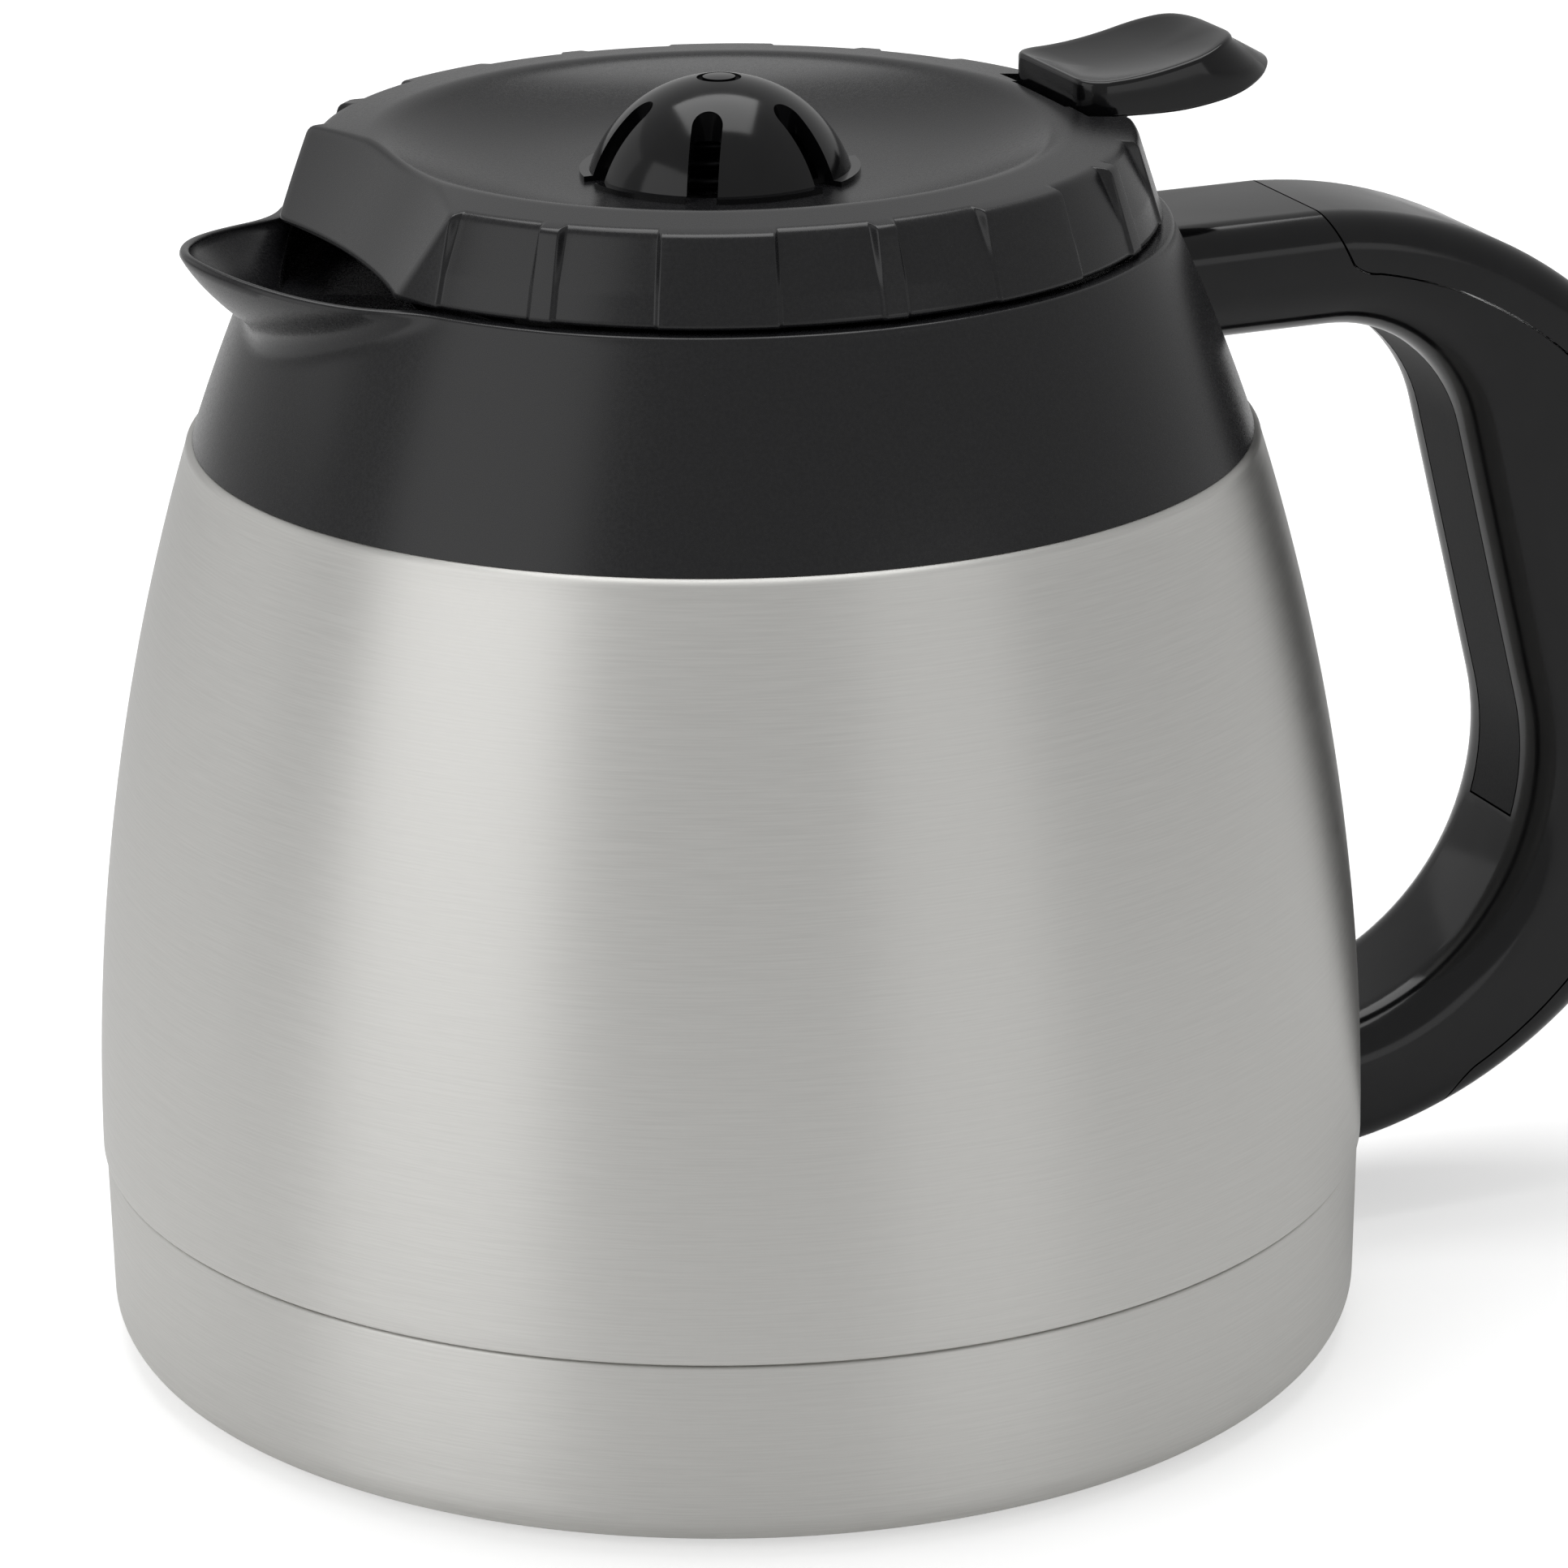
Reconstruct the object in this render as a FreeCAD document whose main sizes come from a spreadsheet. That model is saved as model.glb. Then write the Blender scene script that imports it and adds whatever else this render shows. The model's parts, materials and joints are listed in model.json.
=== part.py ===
import FreeCAD, Part
import math
import os
import re
import Sketcher

# Insulated coffee jug with a brew-through lid.
# Millimetres. The jug stands on z = 0, its axis is Z, the handle points to +X and the spout to -X.

Vector = FreeCAD.Vector
Rotation = FreeCAD.Rotation
Placement = FreeCAD.Placement

doc = FreeCAD.newDocument("coffee_jug")
sheet = doc.addObject("Spreadsheet::Sheet", "Sizes")

SIZES = [
    # Steel body: shell above the seam, cup below it
    ("steel_gauge", 0.8),
    ("shell_radius", 74.6),
    ("shell_top_radius", 61.8),
    ("shell_top", 108.3),
    ("shell_edge", 1.0),
    ("ledge_width", 4.3),
    ("seam_height", 22.8),
    ("seam_gap", 0.3),
    ("sheet_fit", 0.15),
    ("cup_step", 0.35),
    ("cup_draft", 0.3),
    ("cup_corner", 5.0),
    ("cup_lip", 6.0),
    # Foot pad and the vacuum fittings above it
    ("pad_inset", 16.6),
    ("pad_radius", "=shell_radius - pad_inset"),
    ("pad_thickness", 1.6),
    ("pad_drop", 0.4),
    ("pad_gap", 0.3),
    ("pad_edge", 0.3),
    ("vacuum_hole", 2.0),
    ("seal_radius", 4.0),
    ("seal_head", 0.9),
    ("getter_radius", 9.0),
    ("getter_height", 2.0),
    # Inner flask and the double neck
    ("vacuum_gap", 4.2),
    ("flask_floor", 9.5),
    ("flask_corner", 14.0),
    ("flask_seam_angle", 24.0),
    ("flask_shoulder_drop", 8.3),
    ("flask_shoulder", "=shell_top - flask_shoulder_drop"),
    ("flask_neck_rise", 2.7),
    ("flask_neck_foot", "=shell_top + flask_neck_rise"),
    ("neck_radius", 36.0),
    ("neck_gap", 1.9),
    ("neck_rise", 13.7),
    ("neck_top", "=shell_top + neck_rise"),
    ("shell_neck_rise", 6.2),
    ("shell_neck_foot", "=shell_top + shell_neck_rise"),
    # Collar with the gutter, the socket round the neck and the spout
    ("collar_step", 0.85),
    ("collar_gap", 0.1),
    ("collar_bow", 205.0),
    ("collar_wall", 2.4),
    ("collar_draw", 10.4),
    ("collar_top_radius", "=shell_top_radius - collar_draw"),
    ("neck_seal_height", 1.4),
    ("gutter_underside", "=neck_top + neck_seal_height"),
    ("mouth_thickness", 2.0),
    ("mouth_floor", "=gutter_underside + mouth_thickness"),
    ("gutter_rise", 0.6),
    ("gutter_floor", "=mouth_floor + gutter_rise"),
    ("gutter_depth", 6.2),
    ("collar_top", "=gutter_floor + gutter_depth"),
    ("gutter_inset", 1.4),
    ("gutter_radius", "=collar_top_radius - gutter_inset"),
    ("mouth_gap", 0.3),
    ("mouth_radius", "=neck_radius + mouth_gap"),
    ("socket_gap", 0.2),
    ("socket_wall", 2.0),
    ("socket_height", 6.9),
    ("socket_foot", "=gutter_underside - socket_height"),
    ("spout_inset", 4.9),
    ("spout_x", "=collar_top_radius - spout_inset"),
    ("spout_reach", 16.3),
    ("spout_half_width", 23.8),
    ("spout_depth", 9.6),
    ("spout_lip", 0.8),
    ("spout_lip_height", 1.5),
    ("spout_wall", 1.7),
    ("spout_floor", 2.6),
    # Handle, drawn in the XZ plane between its top face and its foot
    ("handle_width", 24.0),
    ("handle_top_drop", 4.5),
    ("handle_top", "=collar_top - handle_top_drop"),
    ("handle_foot", 9.1),
    ("handle_round", "=(handle_top - handle_foot) / 2"),
    ("handle_z", "=handle_top - handle_round"),
    ("handle_inset", 4.6),
    ("handle_x", "=shell_radius - handle_inset"),
    ("handle_root", 4.4),
    ("handle_root_x", "=collar_top_radius - handle_root"),
    ("handle_heel", 2.0),
    ("arm_depth", 14.2),
    ("grip_corner", 20.0),
    ("grip_lean_angle", 13.9),
    ("palm_round", 30.4),
    ("palm_shift", 2.3),
    ("palm_x", "=handle_x + palm_shift"),
    ("palm_drop", 12.9),
    ("palm_z", "=handle_z - palm_drop"),
    ("handle_inner_edge", 6.0),
    ("handle_outer_edge", 4.2),
    ("handle_fit", 0.15),
    # Cover on the outside of the handle and pad on the inside
    ("cover_thickness", 4.5),
    ("cover_seam_round", "=handle_round - cover_thickness"),
    ("cover_seam_shift", 2.4),
    ("cover_seam_x", "=handle_x - cover_seam_shift"),
    ("cover_seam_drop", 2.0),
    ("cover_seam_z", "=handle_z - cover_seam_drop"),
    ("cover_top_angle", 78.5),
    ("cover_low_angle", 61.5),
    ("cover_flat_angle", 5.0),
    ("cover_start", 1.8),
    ("cover_start_x", "=handle_x + cover_start"),
    ("cover_step", 4.9),
    ("cover_step_x", "=handle_x + cover_step"),
    ("cover_step_depth", 6.1),
    ("cover_step_z", "=handle_top - cover_step_depth"),
    ("cover_end", 19.9),
    ("cover_end_x", "=handle_x + cover_end"),
    ("cover_bend", 5.0),
    ("cover_gap", 0.25),
    ("grip_width", 10.0),
    ("grip_depth", 1.6),
    ("grip_end_angle", 15.0),
    ("grip_play_angle", 0.5),
    # Handle fixings
    ("screw_radius", 1.5),
    ("screw_head_radius", 2.8),
    ("screw_head", 1.8),
    ("screw_fit", 0.1),
    ("screw_tip_room", 1.0),
    ("upper_screw_drop", 7.2),
    ("upper_screw_z", "=handle_top - upper_screw_drop"),
    ("upper_screw_y", 6.5),
    ("upper_boss_radius", 3.6),
    ("upper_boss_depth", 6.6),
    ("upper_boss_sink", 2.6),
    ("upper_screw_stop", 4.0),
    ("upper_screw_end", "=handle_x - upper_screw_stop"),
    ("bracket_plate", 1.2),
    ("bracket_half_width", 7.0),
    ("bracket_drop", 1.3),
    ("bracket_high", "=seam_height - bracket_drop"),
    ("bracket_height", 7.5),
    ("bracket_low", "=bracket_high - bracket_height"),
    ("bracket_tab", 2.0),
    ("bracket_length", 11.4),
    ("bracket_reach", "=shell_radius + bracket_length"),
    ("bracket_sink", 3.0),
    ("bracket_fit", 0.3),
    ("lower_screw_out", 6.4),
    ("lower_screw_x", "=shell_radius + lower_screw_out"),
    ("lower_screw_rest", 5.0),
    ("lower_screw_floor", "=bracket_high - lower_screw_rest"),
    ("lower_screw_grip", 2.5),
    ("lower_screw_end", "=bracket_high + lower_screw_grip"),
    # Lid
    ("lid_gap", 0.5),
    ("lid_foot", "=collar_top + lid_gap"),
    ("lid_inset", 1.0),
    ("lid_radius", "=collar_top_radius - lid_inset"),
    ("lid_draw", 2.8),
    ("lid_rim_radius", "=lid_radius - lid_draw"),
    ("lid_height", 9.7),
    ("lid_rim", "=lid_foot + lid_height"),
    ("lid_rim_edge", 0.7),
    ("lid_crest_rise", 0.8),
    ("lid_crest", "=lid_rim + lid_crest_rise"),
    ("lid_crest_width", 1.8),
    ("lid_crest_drop", 0.6),
    ("lid_crest_round", 2.2),
    ("lid_shelf", 10.2),
    ("dish_radius", "=lid_rim_radius - lid_shelf"),
    ("dish_depth", 5.2),
    ("dish_floor", "=lid_crest - dish_depth"),
    ("dish_flat_radius", 17.5),
    ("dish_rim_thinning", 0.6),
    ("lid_wall", 2.4),
    ("lid_skirt_wall", 1.4),
    ("panel_count", 8),
    ("panel_angle", 13.2),
    ("panel_offset_angle", 8.25),
    ("panel_depth", 1.6),
    ("panel_foot_rise", 0.3),
    ("panel_foot_clear", 0.1),
    ("visor_round", 120.0),
    ("visor_inset", 5.8),
    ("visor_foot_x", "=lid_radius - visor_inset"),
    ("visor_lean_angle", 32.6),
    ("notch_inset", 7.2),
    ("notch_x", "=lid_rim_radius - notch_inset"),
    ("notch_half_width", 12.2),
    ("notch_depth", 1.4),
    ("notch_floor", "=lid_rim - notch_depth"),
    # Brew dome
    ("dome_radius", 14.9),
    ("dome_step", 0.6),
    ("dome_foot", "=dish_floor + dome_step"),
    ("dome_height", 10.5),
    ("dome_top", "=dome_foot + dome_height"),
    ("dome_flange_width", 1.1),
    ("dome_flange", "=dome_radius + dome_flange_width"),
    ("dome_wall", 1.9),
    ("dome_spigot_inset", 2.0),
    ("dome_spigot", "=dome_radius - dome_spigot_inset"),
    ("dome_spigot_bore", "=dome_spigot - dome_wall"),
    ("dome_spigot_depth", 2.8),
    ("dome_spigot_foot", "=dish_floor - dome_spigot_depth"),
    ("dome_hole_fit", 0.1),
    ("dome_slots", 6),
    ("dome_slot_width", 3.5),
    ("dome_slot_inner", 8.2),
    ("dome_ring_radius", 2.2),
    ("dome_ring_width", 0.7),
    ("dome_ring_depth", 0.65),
    # Stopper below the lid
    ("plug_gap", 2.5),
    ("plug_radius", "=neck_radius - plug_gap"),
    ("plug_wall", 2.2),
    ("plug_overlap", 1.3),
    ("plug_top", "=lid_foot + plug_overlap"),
    ("plug_height", 22.2),
    ("plug_foot", "=plug_top - plug_height"),
    ("plug_flange", 2.0),
    ("plug_flange_width", 9.0),
    ("plug_flange_inner", "=plug_radius - plug_flange_width"),
    ("plug_hole", 8.5),
    ("gasket_rise", 3.2),
    ("gasket_low", "=plug_foot + gasket_rise"),
    ("gasket_height", 3.0),
    ("gasket_high", "=gasket_low + gasket_height"),
    ("gasket_groove", 1.0),
    ("gasket_gap", 0.3),
    ("gasket_radius", "=neck_radius - gasket_gap"),
    ("gasket_fit", 0.1),
    ("spider_rise", 11.8),
    ("spider_low", "=plug_foot + spider_rise"),
    ("spider_height", 2.8),
    ("spider_wall", 3.5),
    ("spider_arm", 3.0),
    ("guide_fit", 0.06),
    ("window_half_width", 14.0),
    ("window_rise", 0.6),
    ("window_low", "=gutter_floor + window_rise"),
    ("window_height", 4.8),
    ("window_high", "=window_low + window_height"),
    ("lever_slot_half_width", 5.0),
    ("lever_slot_length", 13.5),
    ("lever_slot_inner", "=plug_radius - lever_slot_length"),
    # Screws that hold the stopper under the lid
    ("boss_radius", 3.2),
    ("boss_inset", 5.0),
    ("boss_circle", "=plug_radius - boss_inset"),
    ("lid_screw_radius", 1.4),
    ("lid_screw_head_radius", 2.6),
    ("lid_screw_cover", 0.6),
    ("lid_screw_end", "=dish_floor - lid_screw_cover"),
    # Pour valve with the drip tube
    ("tube_radius", 5.0),
    ("tube_wall", 1.6),
    ("tube_bore", "=tube_radius - tube_wall"),
    ("tube_drop", 10.8),
    ("tube_foot", "=plug_foot - tube_drop"),
    ("tube_rise", 0.5),
    ("tube_top", "=plug_top + tube_rise"),
    ("valve_seal_height", 1.2),
    ("valve_seal_squeeze", 0.05),
    ("disc_radius", 11.0),
    ("disc_low", "=plug_foot + plug_wall + valve_seal_height"),
    ("disc_thickness", 1.8),
    ("flange_radius", 9.4),
    ("flange_drop", 3.2),
    ("flange_low", "=plug_top - flange_drop"),
    ("flange_thickness", 1.4),
    ("port_radius", 1.5),
    ("port_rise", 4.3),
    ("port_z", "=disc_low + port_rise"),
    ("spring_radius", 5.9),
    ("spring_wire", 0.9),
    ("spring_turns", 5),
    ("spring_headroom", 5.7),
    ("spring_seat", "=dome_top - spring_headroom"),
    # Thumb lever: pin, ears and lug
    ("pivot_inset", 4.0),
    ("pivot_x", "=lid_rim_radius - pivot_inset"),
    ("pivot_drop", 0.8),
    ("pivot_z", "=dish_floor - pivot_drop"),
    ("pin_radius", 1.5),
    ("pin_fit", 0.05),
    ("ear_inner", 7.3),
    ("ear_outer", 10.3),
    ("ear_margin", 0.5),
    ("ear_front", 1.2),
    ("lug_half_width", 6.8),
    ("lug_back", 2.8),
    ("lug_inner_x", "=pivot_x - lug_back"),
    ("lug_front", 2.2),
    ("lug_outer_x", "=pivot_x + lug_front"),
    ("lug_drop", 3.0),
    ("lug_foot", "=pivot_z - lug_drop"),
    ("lug_room", 1.1),
    # Paddle of the lever, from its root over the crest to the tip and back along the belly
    ("paddle_half_width", 10.5),
    ("paddle_root", 1.3),
    ("paddle_root_x", "=pivot_x - paddle_root"),
    ("paddle_root_rise", 3.1),
    ("paddle_root_z", "=lid_crest + paddle_root_rise"),
    ("paddle_dip", 42.0),
    ("paddle_crest_run", 17.9),
    ("paddle_crest_x", "=paddle_root_x + paddle_crest_run"),
    ("paddle_crest_rise", 2.55),
    ("paddle_crest_z", "=paddle_root_z + paddle_crest_rise"),
    ("paddle_brow_run", 7.3),
    ("paddle_brow_x", "=paddle_crest_x + paddle_brow_run"),
    ("paddle_brow_drop", 1.95),
    ("paddle_brow_z", "=paddle_crest_z - paddle_brow_drop"),
    ("paddle_tip_run", 1.5),
    ("paddle_tip_x", "=paddle_brow_x + paddle_tip_run"),
    ("paddle_tip_drop", 1.9),
    ("paddle_tip_z", "=paddle_brow_z - paddle_tip_drop"),
    ("paddle_belly_run", 8.4),
    ("paddle_belly_x", "=pivot_x + paddle_belly_run"),
    ("paddle_belly_drop", 1.3),
    ("paddle_belly_z", "=lid_crest - paddle_belly_drop"),
    ("paddle_keel", 45.0),
    ("paddle_edge", 0.9),
    # Nose of the paddle, cut across the leaning front
    ("nose_lean_angle", 39.7),
    ("nose_start", 4.2),
    ("nose_start_x", "=pivot_x + nose_start"),
    ("nose_rise", 2.8),
    ("nose_start_z", "=lid_crest + nose_rise"),
    ("nose_length", 14.5),
    ("nose_round", 8.4),
    # Arm and fork of the lever below the valve flange
    ("arm_rise", 0.4),
    ("arm_low", "=window_low + arm_rise"),
    ("arm_thickness", 3.2),
    ("arm_half_width", 3.5),
    ("arm_back", 6.2),
    ("arm_back_x", "=pivot_x - arm_back"),
    ("arm_leg", 3.4),
    ("yoke_x", 11.0),
    ("yoke_depth", 3.0),
    ("tine_inner", 5.8),
    ("tine_outer", 8.8),
    ("tine_end_x", 2.5),
    ("tine_height", 2.5),
    ("tine_top", "=arm_low + tine_height"),
    ("nub_radius", 1.6),
    ("nub_gap", 0.3),
    ("nub_top", "=flange_low - nub_gap"),
    # How far a cutting shape runs past the face it opens, and how far joined shapes sink into each other
    ("overcut", 1.0),
    ("overlap", 1.0),
]

for row, (name, number) in enumerate(SIZES, start=1):
    sheet.set("A%d" % row, name)
    sheet.set("B%d" % row, str(number))
    sheet.setAlias("B%d" % row, name)
doc.recompute()

ALIASES = re.compile(r"\b(" + "|".join(name for name, number in SIZES) + r")\b")


def on_sheet(expression):
    """The expression with every size name pointing at the sheet."""
    return ALIASES.sub(r"Sizes.\1", str(expression))


def size(expression):
    """The present number behind an expression of sizes."""
    return float(sheet.evalExpression(str(expression)))


def bind(thing, prop, expression):
    thing.setExpression(prop, on_sheet(expression))


# Bodies, sketches and features

def new_body(label):
    body = doc.addObject("PartDesign::Body", label)
    body.Label = label
    return body


def new_sketch(body, name, plane, turn=0.0, lift="0"):
    """A sketch on an origin plane; turn swings it about Z, lift raises it along its normal."""
    sketch = body.newObject("Sketcher::SketchObject", name)
    support = [f for f in body.Origin.OriginFeatures if f.Role == plane][0]
    sketch.AttachmentSupport = (support, [""])
    sketch.MapMode = "FlatFace"
    sketch.AttachmentOffset = Placement(Vector(0, 0, 0), Rotation(Vector(0, 1, 0), turn))
    bind(sketch, "AttachmentOffset.Base.z", lift)
    return sketch


def fix_point(sketch, geometry, end, across, along):
    for kind, expression in (("DistanceX", across), ("DistanceY", along)):
        number = sketch.addConstraint(Sketcher.Constraint(kind, -1, 1, geometry, end, size(expression)))
        bind(sketch, "Constraints[%d]" % number, expression)


def draw_outline(sketch, corners):
    """Closed outline. A corner is (across, along) or (across, along, radius): with a radius the side that
    starts there is an arc, turning left for a positive radius and right for a negative one."""
    points = [Vector(size(c[0]), size(c[1]), 0) for c in corners]
    first = sketch.GeometryCount
    for index, corner in enumerate(corners):
        start = points[index]
        finish = points[(index + 1) % len(points)]
        if len(corner) == 2:
            sketch.addGeometry(Part.LineSegment(start, finish))
            continue
        radius = size(corner[2])
        chord = finish - start
        left = Vector(-chord.y, chord.x, 0).normalize()
        rise = math.sqrt(max(radius ** 2 - chord.Length ** 2 / 4, 0))
        middle = (start + finish) / 2 + left * math.copysign(abs(radius) - rise, -radius)
        sketch.addGeometry(Part.Arc(start, middle, finish))
    for index, corner in enumerate(corners):
        here = first + index
        back = first + (index - 1) % len(corners)
        turns_right = len(corner) == 3 and size(corner[2]) < 0
        back_right = len(corners[index - 1]) == 3 and size(corners[index - 1][2]) < 0
        start_end = 2 if turns_right else 1
        back_end = 1 if back_right else 2
        sketch.addConstraint(Sketcher.Constraint("Coincident", back, back_end, here, start_end))
        fix_point(sketch, here, start_end, corner[0], corner[1])
    for index, corner in enumerate(corners):
        if len(corner) == 3:
            round_side = Sketcher.Constraint("Radius", first + index, abs(size(corner[2])))
            number = sketch.addConstraint(round_side)
            bind(sketch, "Constraints[%d]" % number, "abs(%s)" % corner[2])


def draw_circle(sketch, across, along, radius):
    centre = Vector(size(across), size(along), 0)
    here = sketch.addGeometry(Part.Circle(centre, Vector(0, 0, 1), size(radius)))
    fix_point(sketch, here, 3, across, along)
    number = sketch.addConstraint(Sketcher.Constraint("Radius", here, size(radius)))
    bind(sketch, "Constraints[%d]" % number, radius)


def outline(body, name, plane, corners, turn=0.0, lift="0"):
    sketch = new_sketch(body, name, plane, turn, lift)
    draw_outline(sketch, corners)
    return sketch


def rectangle(left, low, right, high):
    return [(left, low), (right, low), (right, high), (left, high)]


def turned(body, name, corners):
    """Full turn of an outline (radius, height) about the Z axis."""
    sketch = outline(body, name + "_outline", "XZ_Plane", corners)
    feature = body.newObject("PartDesign::Revolution", name)
    feature.Profile = sketch
    feature.ReferenceAxis = (sketch, ["V_Axis"])
    feature.Angle = 360
    return feature


def grooved(body, name, sketch, angle="360"):
    feature = body.newObject("PartDesign::Groove", name)
    feature.Profile = sketch
    feature.ReferenceAxis = (sketch, ["V_Axis"])
    feature.Midplane = True
    bind(feature, "Angle", angle)
    return feature


def padded(body, name, sketch, length, midplane=True):
    feature = body.newObject("PartDesign::Pad", name)
    feature.Profile = sketch
    feature.Midplane = midplane
    bind(feature, "Length", length)
    return feature


def pocketed(body, name, sketch, length=None):
    """A pocket to both sides of its sketch; through everything if no length is given."""
    feature = body.newObject("PartDesign::Pocket", name)
    feature.Profile = sketch
    feature.Midplane = True
    if length is None:
        feature.Type = "ThroughAll"
    else:
        bind(feature, "Length", length)
    return feature


def patterned(body, name, features, count):
    feature = body.newObject("PartDesign::PolarPattern", name)
    feature.Originals = features
    feature.Axis = (features[0].Profile[0], ["N_Axis"])
    if features[0].TypeId == "PartDesign::Groove":
        feature.Axis = (features[0].Profile[0], ["V_Axis"])
    feature.Angle = 360
    bind(feature, "Occurrences", count)
    body.Tip = feature
    return feature


def rounded(body, name, feature, radius, wanted):
    """Fillet on the edges of the feature that the test picks out."""
    doc.recompute()
    picked = ["Edge%d" % n for n, edge in enumerate(feature.Shape.Edges, start=1) if wanted(edge)]
    fillet = body.newObject("PartDesign::Fillet", name)
    fillet.Base = (feature, picked)
    bind(fillet, "Radius", radius)
    body.Tip = fillet
    return fillet


# Primitives and booleans

def place(thing, base, rotation=None):
    thing.Placement = Placement(Vector(0, 0, 0), rotation or Rotation())
    for axis, expression in zip("xyz", base):
        bind(thing, "Placement.Base." + axis, expression)
    return thing


def block(name, low, high):
    """A box between two corners."""
    box = doc.addObject("Part::Box", name)
    for prop, start, finish in zip(("Length", "Width", "Height"), low, high):
        bind(box, prop, "(%s) - (%s)" % (finish, start))
    return place(box, low)


ALONG_X = Rotation(Vector(0, 1, 0), 90)
ALONG_Y = Rotation(Vector(1, 0, 0), -90)


def rod(name, base, radius, length, rotation=None):
    cylinder = doc.addObject("Part::Cylinder", name)
    bind(cylinder, "Radius", radius)
    bind(cylinder, "Height", length)
    return place(cylinder, base, rotation)


def joined(name, things):
    fusion = doc.addObject("Part::MultiFuse", name)
    fusion.Shapes = things
    return fusion


def cut(name, base, tools):
    result = doc.addObject("Part::Cut", name)
    result.Base = base
    result.Tool = tools[0] if len(tools) == 1 else joined(name + "_tools", tools)
    return result


def group(name, things):
    compound = doc.addObject("Part::Compound", name)
    compound.Links = things
    return compound


pieces = []


def piece(thing, label):
    thing.Label = label
    pieces.append(thing)
    return thing


# Base pad and base cup

recess_radius = "pad_radius + pad_gap"
cup_radius = "shell_radius - cup_step"
foot_radius = "shell_radius - cup_step - cup_draft"
lip_radius = "shell_radius - steel_gauge - sheet_fit"
cup_floor = "pad_thickness + steel_gauge"

pad_body = new_body("base_pad")
turned(pad_body, "pad_disc", [
    ("0", "0"),
    ("pad_radius - pad_edge", "0"),
    ("pad_radius", "pad_edge"),
    ("pad_radius", "pad_thickness"),
    ("seal_radius + pad_gap", "pad_thickness"),
    ("seal_radius + pad_gap", "pad_thickness - seal_head - pad_gap / 2"),
    ("0", "pad_thickness - seal_head - pad_gap / 2"),
])
piece(pad_body, "base_pad")

cup_body = new_body("base_cup")
turned(cup_body, "cup_sheet", [
    ("vacuum_hole", "pad_thickness"),
    (recess_radius, "pad_thickness"),
    (recess_radius, "pad_drop"),
    (foot_radius + " - cup_corner", "pad_drop", "cup_corner"),
    (foot_radius, "pad_drop + cup_corner"),
    (cup_radius, "seam_height"),
    (lip_radius, "seam_height"),
    (lip_radius, "seam_height + cup_lip"),
    (lip_radius + " - steel_gauge", "seam_height + cup_lip"),
    (lip_radius + " - steel_gauge", "seam_height - steel_gauge"),
    (cup_radius + " - 2 * steel_gauge", "seam_height - 2 * steel_gauge"),
    (foot_radius + " - steel_gauge", "pad_drop + cup_corner", "steel_gauge - cup_corner"),
    (foot_radius + " - cup_corner", "pad_drop + steel_gauge"),
    (recess_radius + " + steel_gauge", "pad_drop + steel_gauge"),
    (recess_radius + " + steel_gauge", cup_floor),
    ("vacuum_hole", cup_floor),
])
piece(cup_body, "base_cup")

seal_body = new_body("evacuation_seal")
turned(seal_body, "seal_plug", [
    ("0", "pad_thickness - seal_head"),
    ("seal_radius", "pad_thickness - seal_head"),
    ("seal_radius", "pad_thickness"),
    ("vacuum_hole - sheet_fit", "pad_thickness"),
    ("vacuum_hole - sheet_fit", cup_floor + " + seal_head"),
    ("0", cup_floor + " + seal_head"),
])
piece(seal_body, "evacuation_seal")

# Outer shell with its neck

shell_foot = "(seam_height + seam_gap)"
shell_rise = "(shell_top - shell_edge - %s)" % shell_foot
shell_draw = "(shell_radius - shell_top_radius)"
shell_bow = "(%s ^ 2 + %s ^ 2) / (2 * %s)" % (shell_rise, shell_draw, shell_draw)
ledge_radius = "shell_top_radius - ledge_width"
neck_outer = "(neck_radius + 2 * steel_gauge + neck_gap)"

shell_body = new_body("outer_shell")
turned(shell_body, "shell_sheet", [
    ("shell_radius", shell_foot, shell_bow),
    ("shell_top_radius", "shell_top - shell_edge", "shell_edge"),
    ("shell_top_radius - shell_edge", "shell_top"),
    (ledge_radius, "shell_top"),
    (neck_outer, "shell_neck_foot"),
    (neck_outer, "neck_top - steel_gauge"),
    (neck_outer + " - steel_gauge", "neck_top - steel_gauge"),
    (neck_outer + " - steel_gauge", "shell_neck_foot - steel_gauge"),
    (ledge_radius, "shell_top - steel_gauge"),
    ("shell_top_radius - shell_edge", "shell_top - steel_gauge"),
    ("shell_top_radius - steel_gauge", "shell_top - shell_edge", "-(%s)" % shell_bow),
    ("shell_radius - steel_gauge", shell_foot),
])
piece(shell_body, "outer_shell")

# Inner flask, welded from a base dish, a heel ring, a wall and a neck whose lip lies on the shell's neck


def polar(x, z, radius, angle):
    """Point at an angle, in degrees, on a circle round (x, z)."""
    return "%s + (%s) * cos(%s)" % (x, radius, angle), "%s + (%s) * sin(%s)" % (z, radius, angle)


flask_radius = "(shell_radius - steel_gauge - vacuum_gap)"
flask_top_radius = "(shell_top_radius - steel_gauge - vacuum_gap)"
flask_wall_foot = "(flask_floor + flask_corner)"
flask_rise = "(flask_shoulder - %s)" % flask_wall_foot
flask_bow = "(%s ^ 2 + %s ^ 2) / (2 * %s)" % (flask_rise, shell_draw, shell_draw)

flask_corner_x = flask_radius + " - flask_corner"
seam_under = polar(flask_corner_x, flask_wall_foot, "flask_corner", "flask_seam_angle - 90")
seam_over = polar(flask_corner_x, flask_wall_foot, "(flask_corner - steel_gauge)", "flask_seam_angle - 90")

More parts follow.
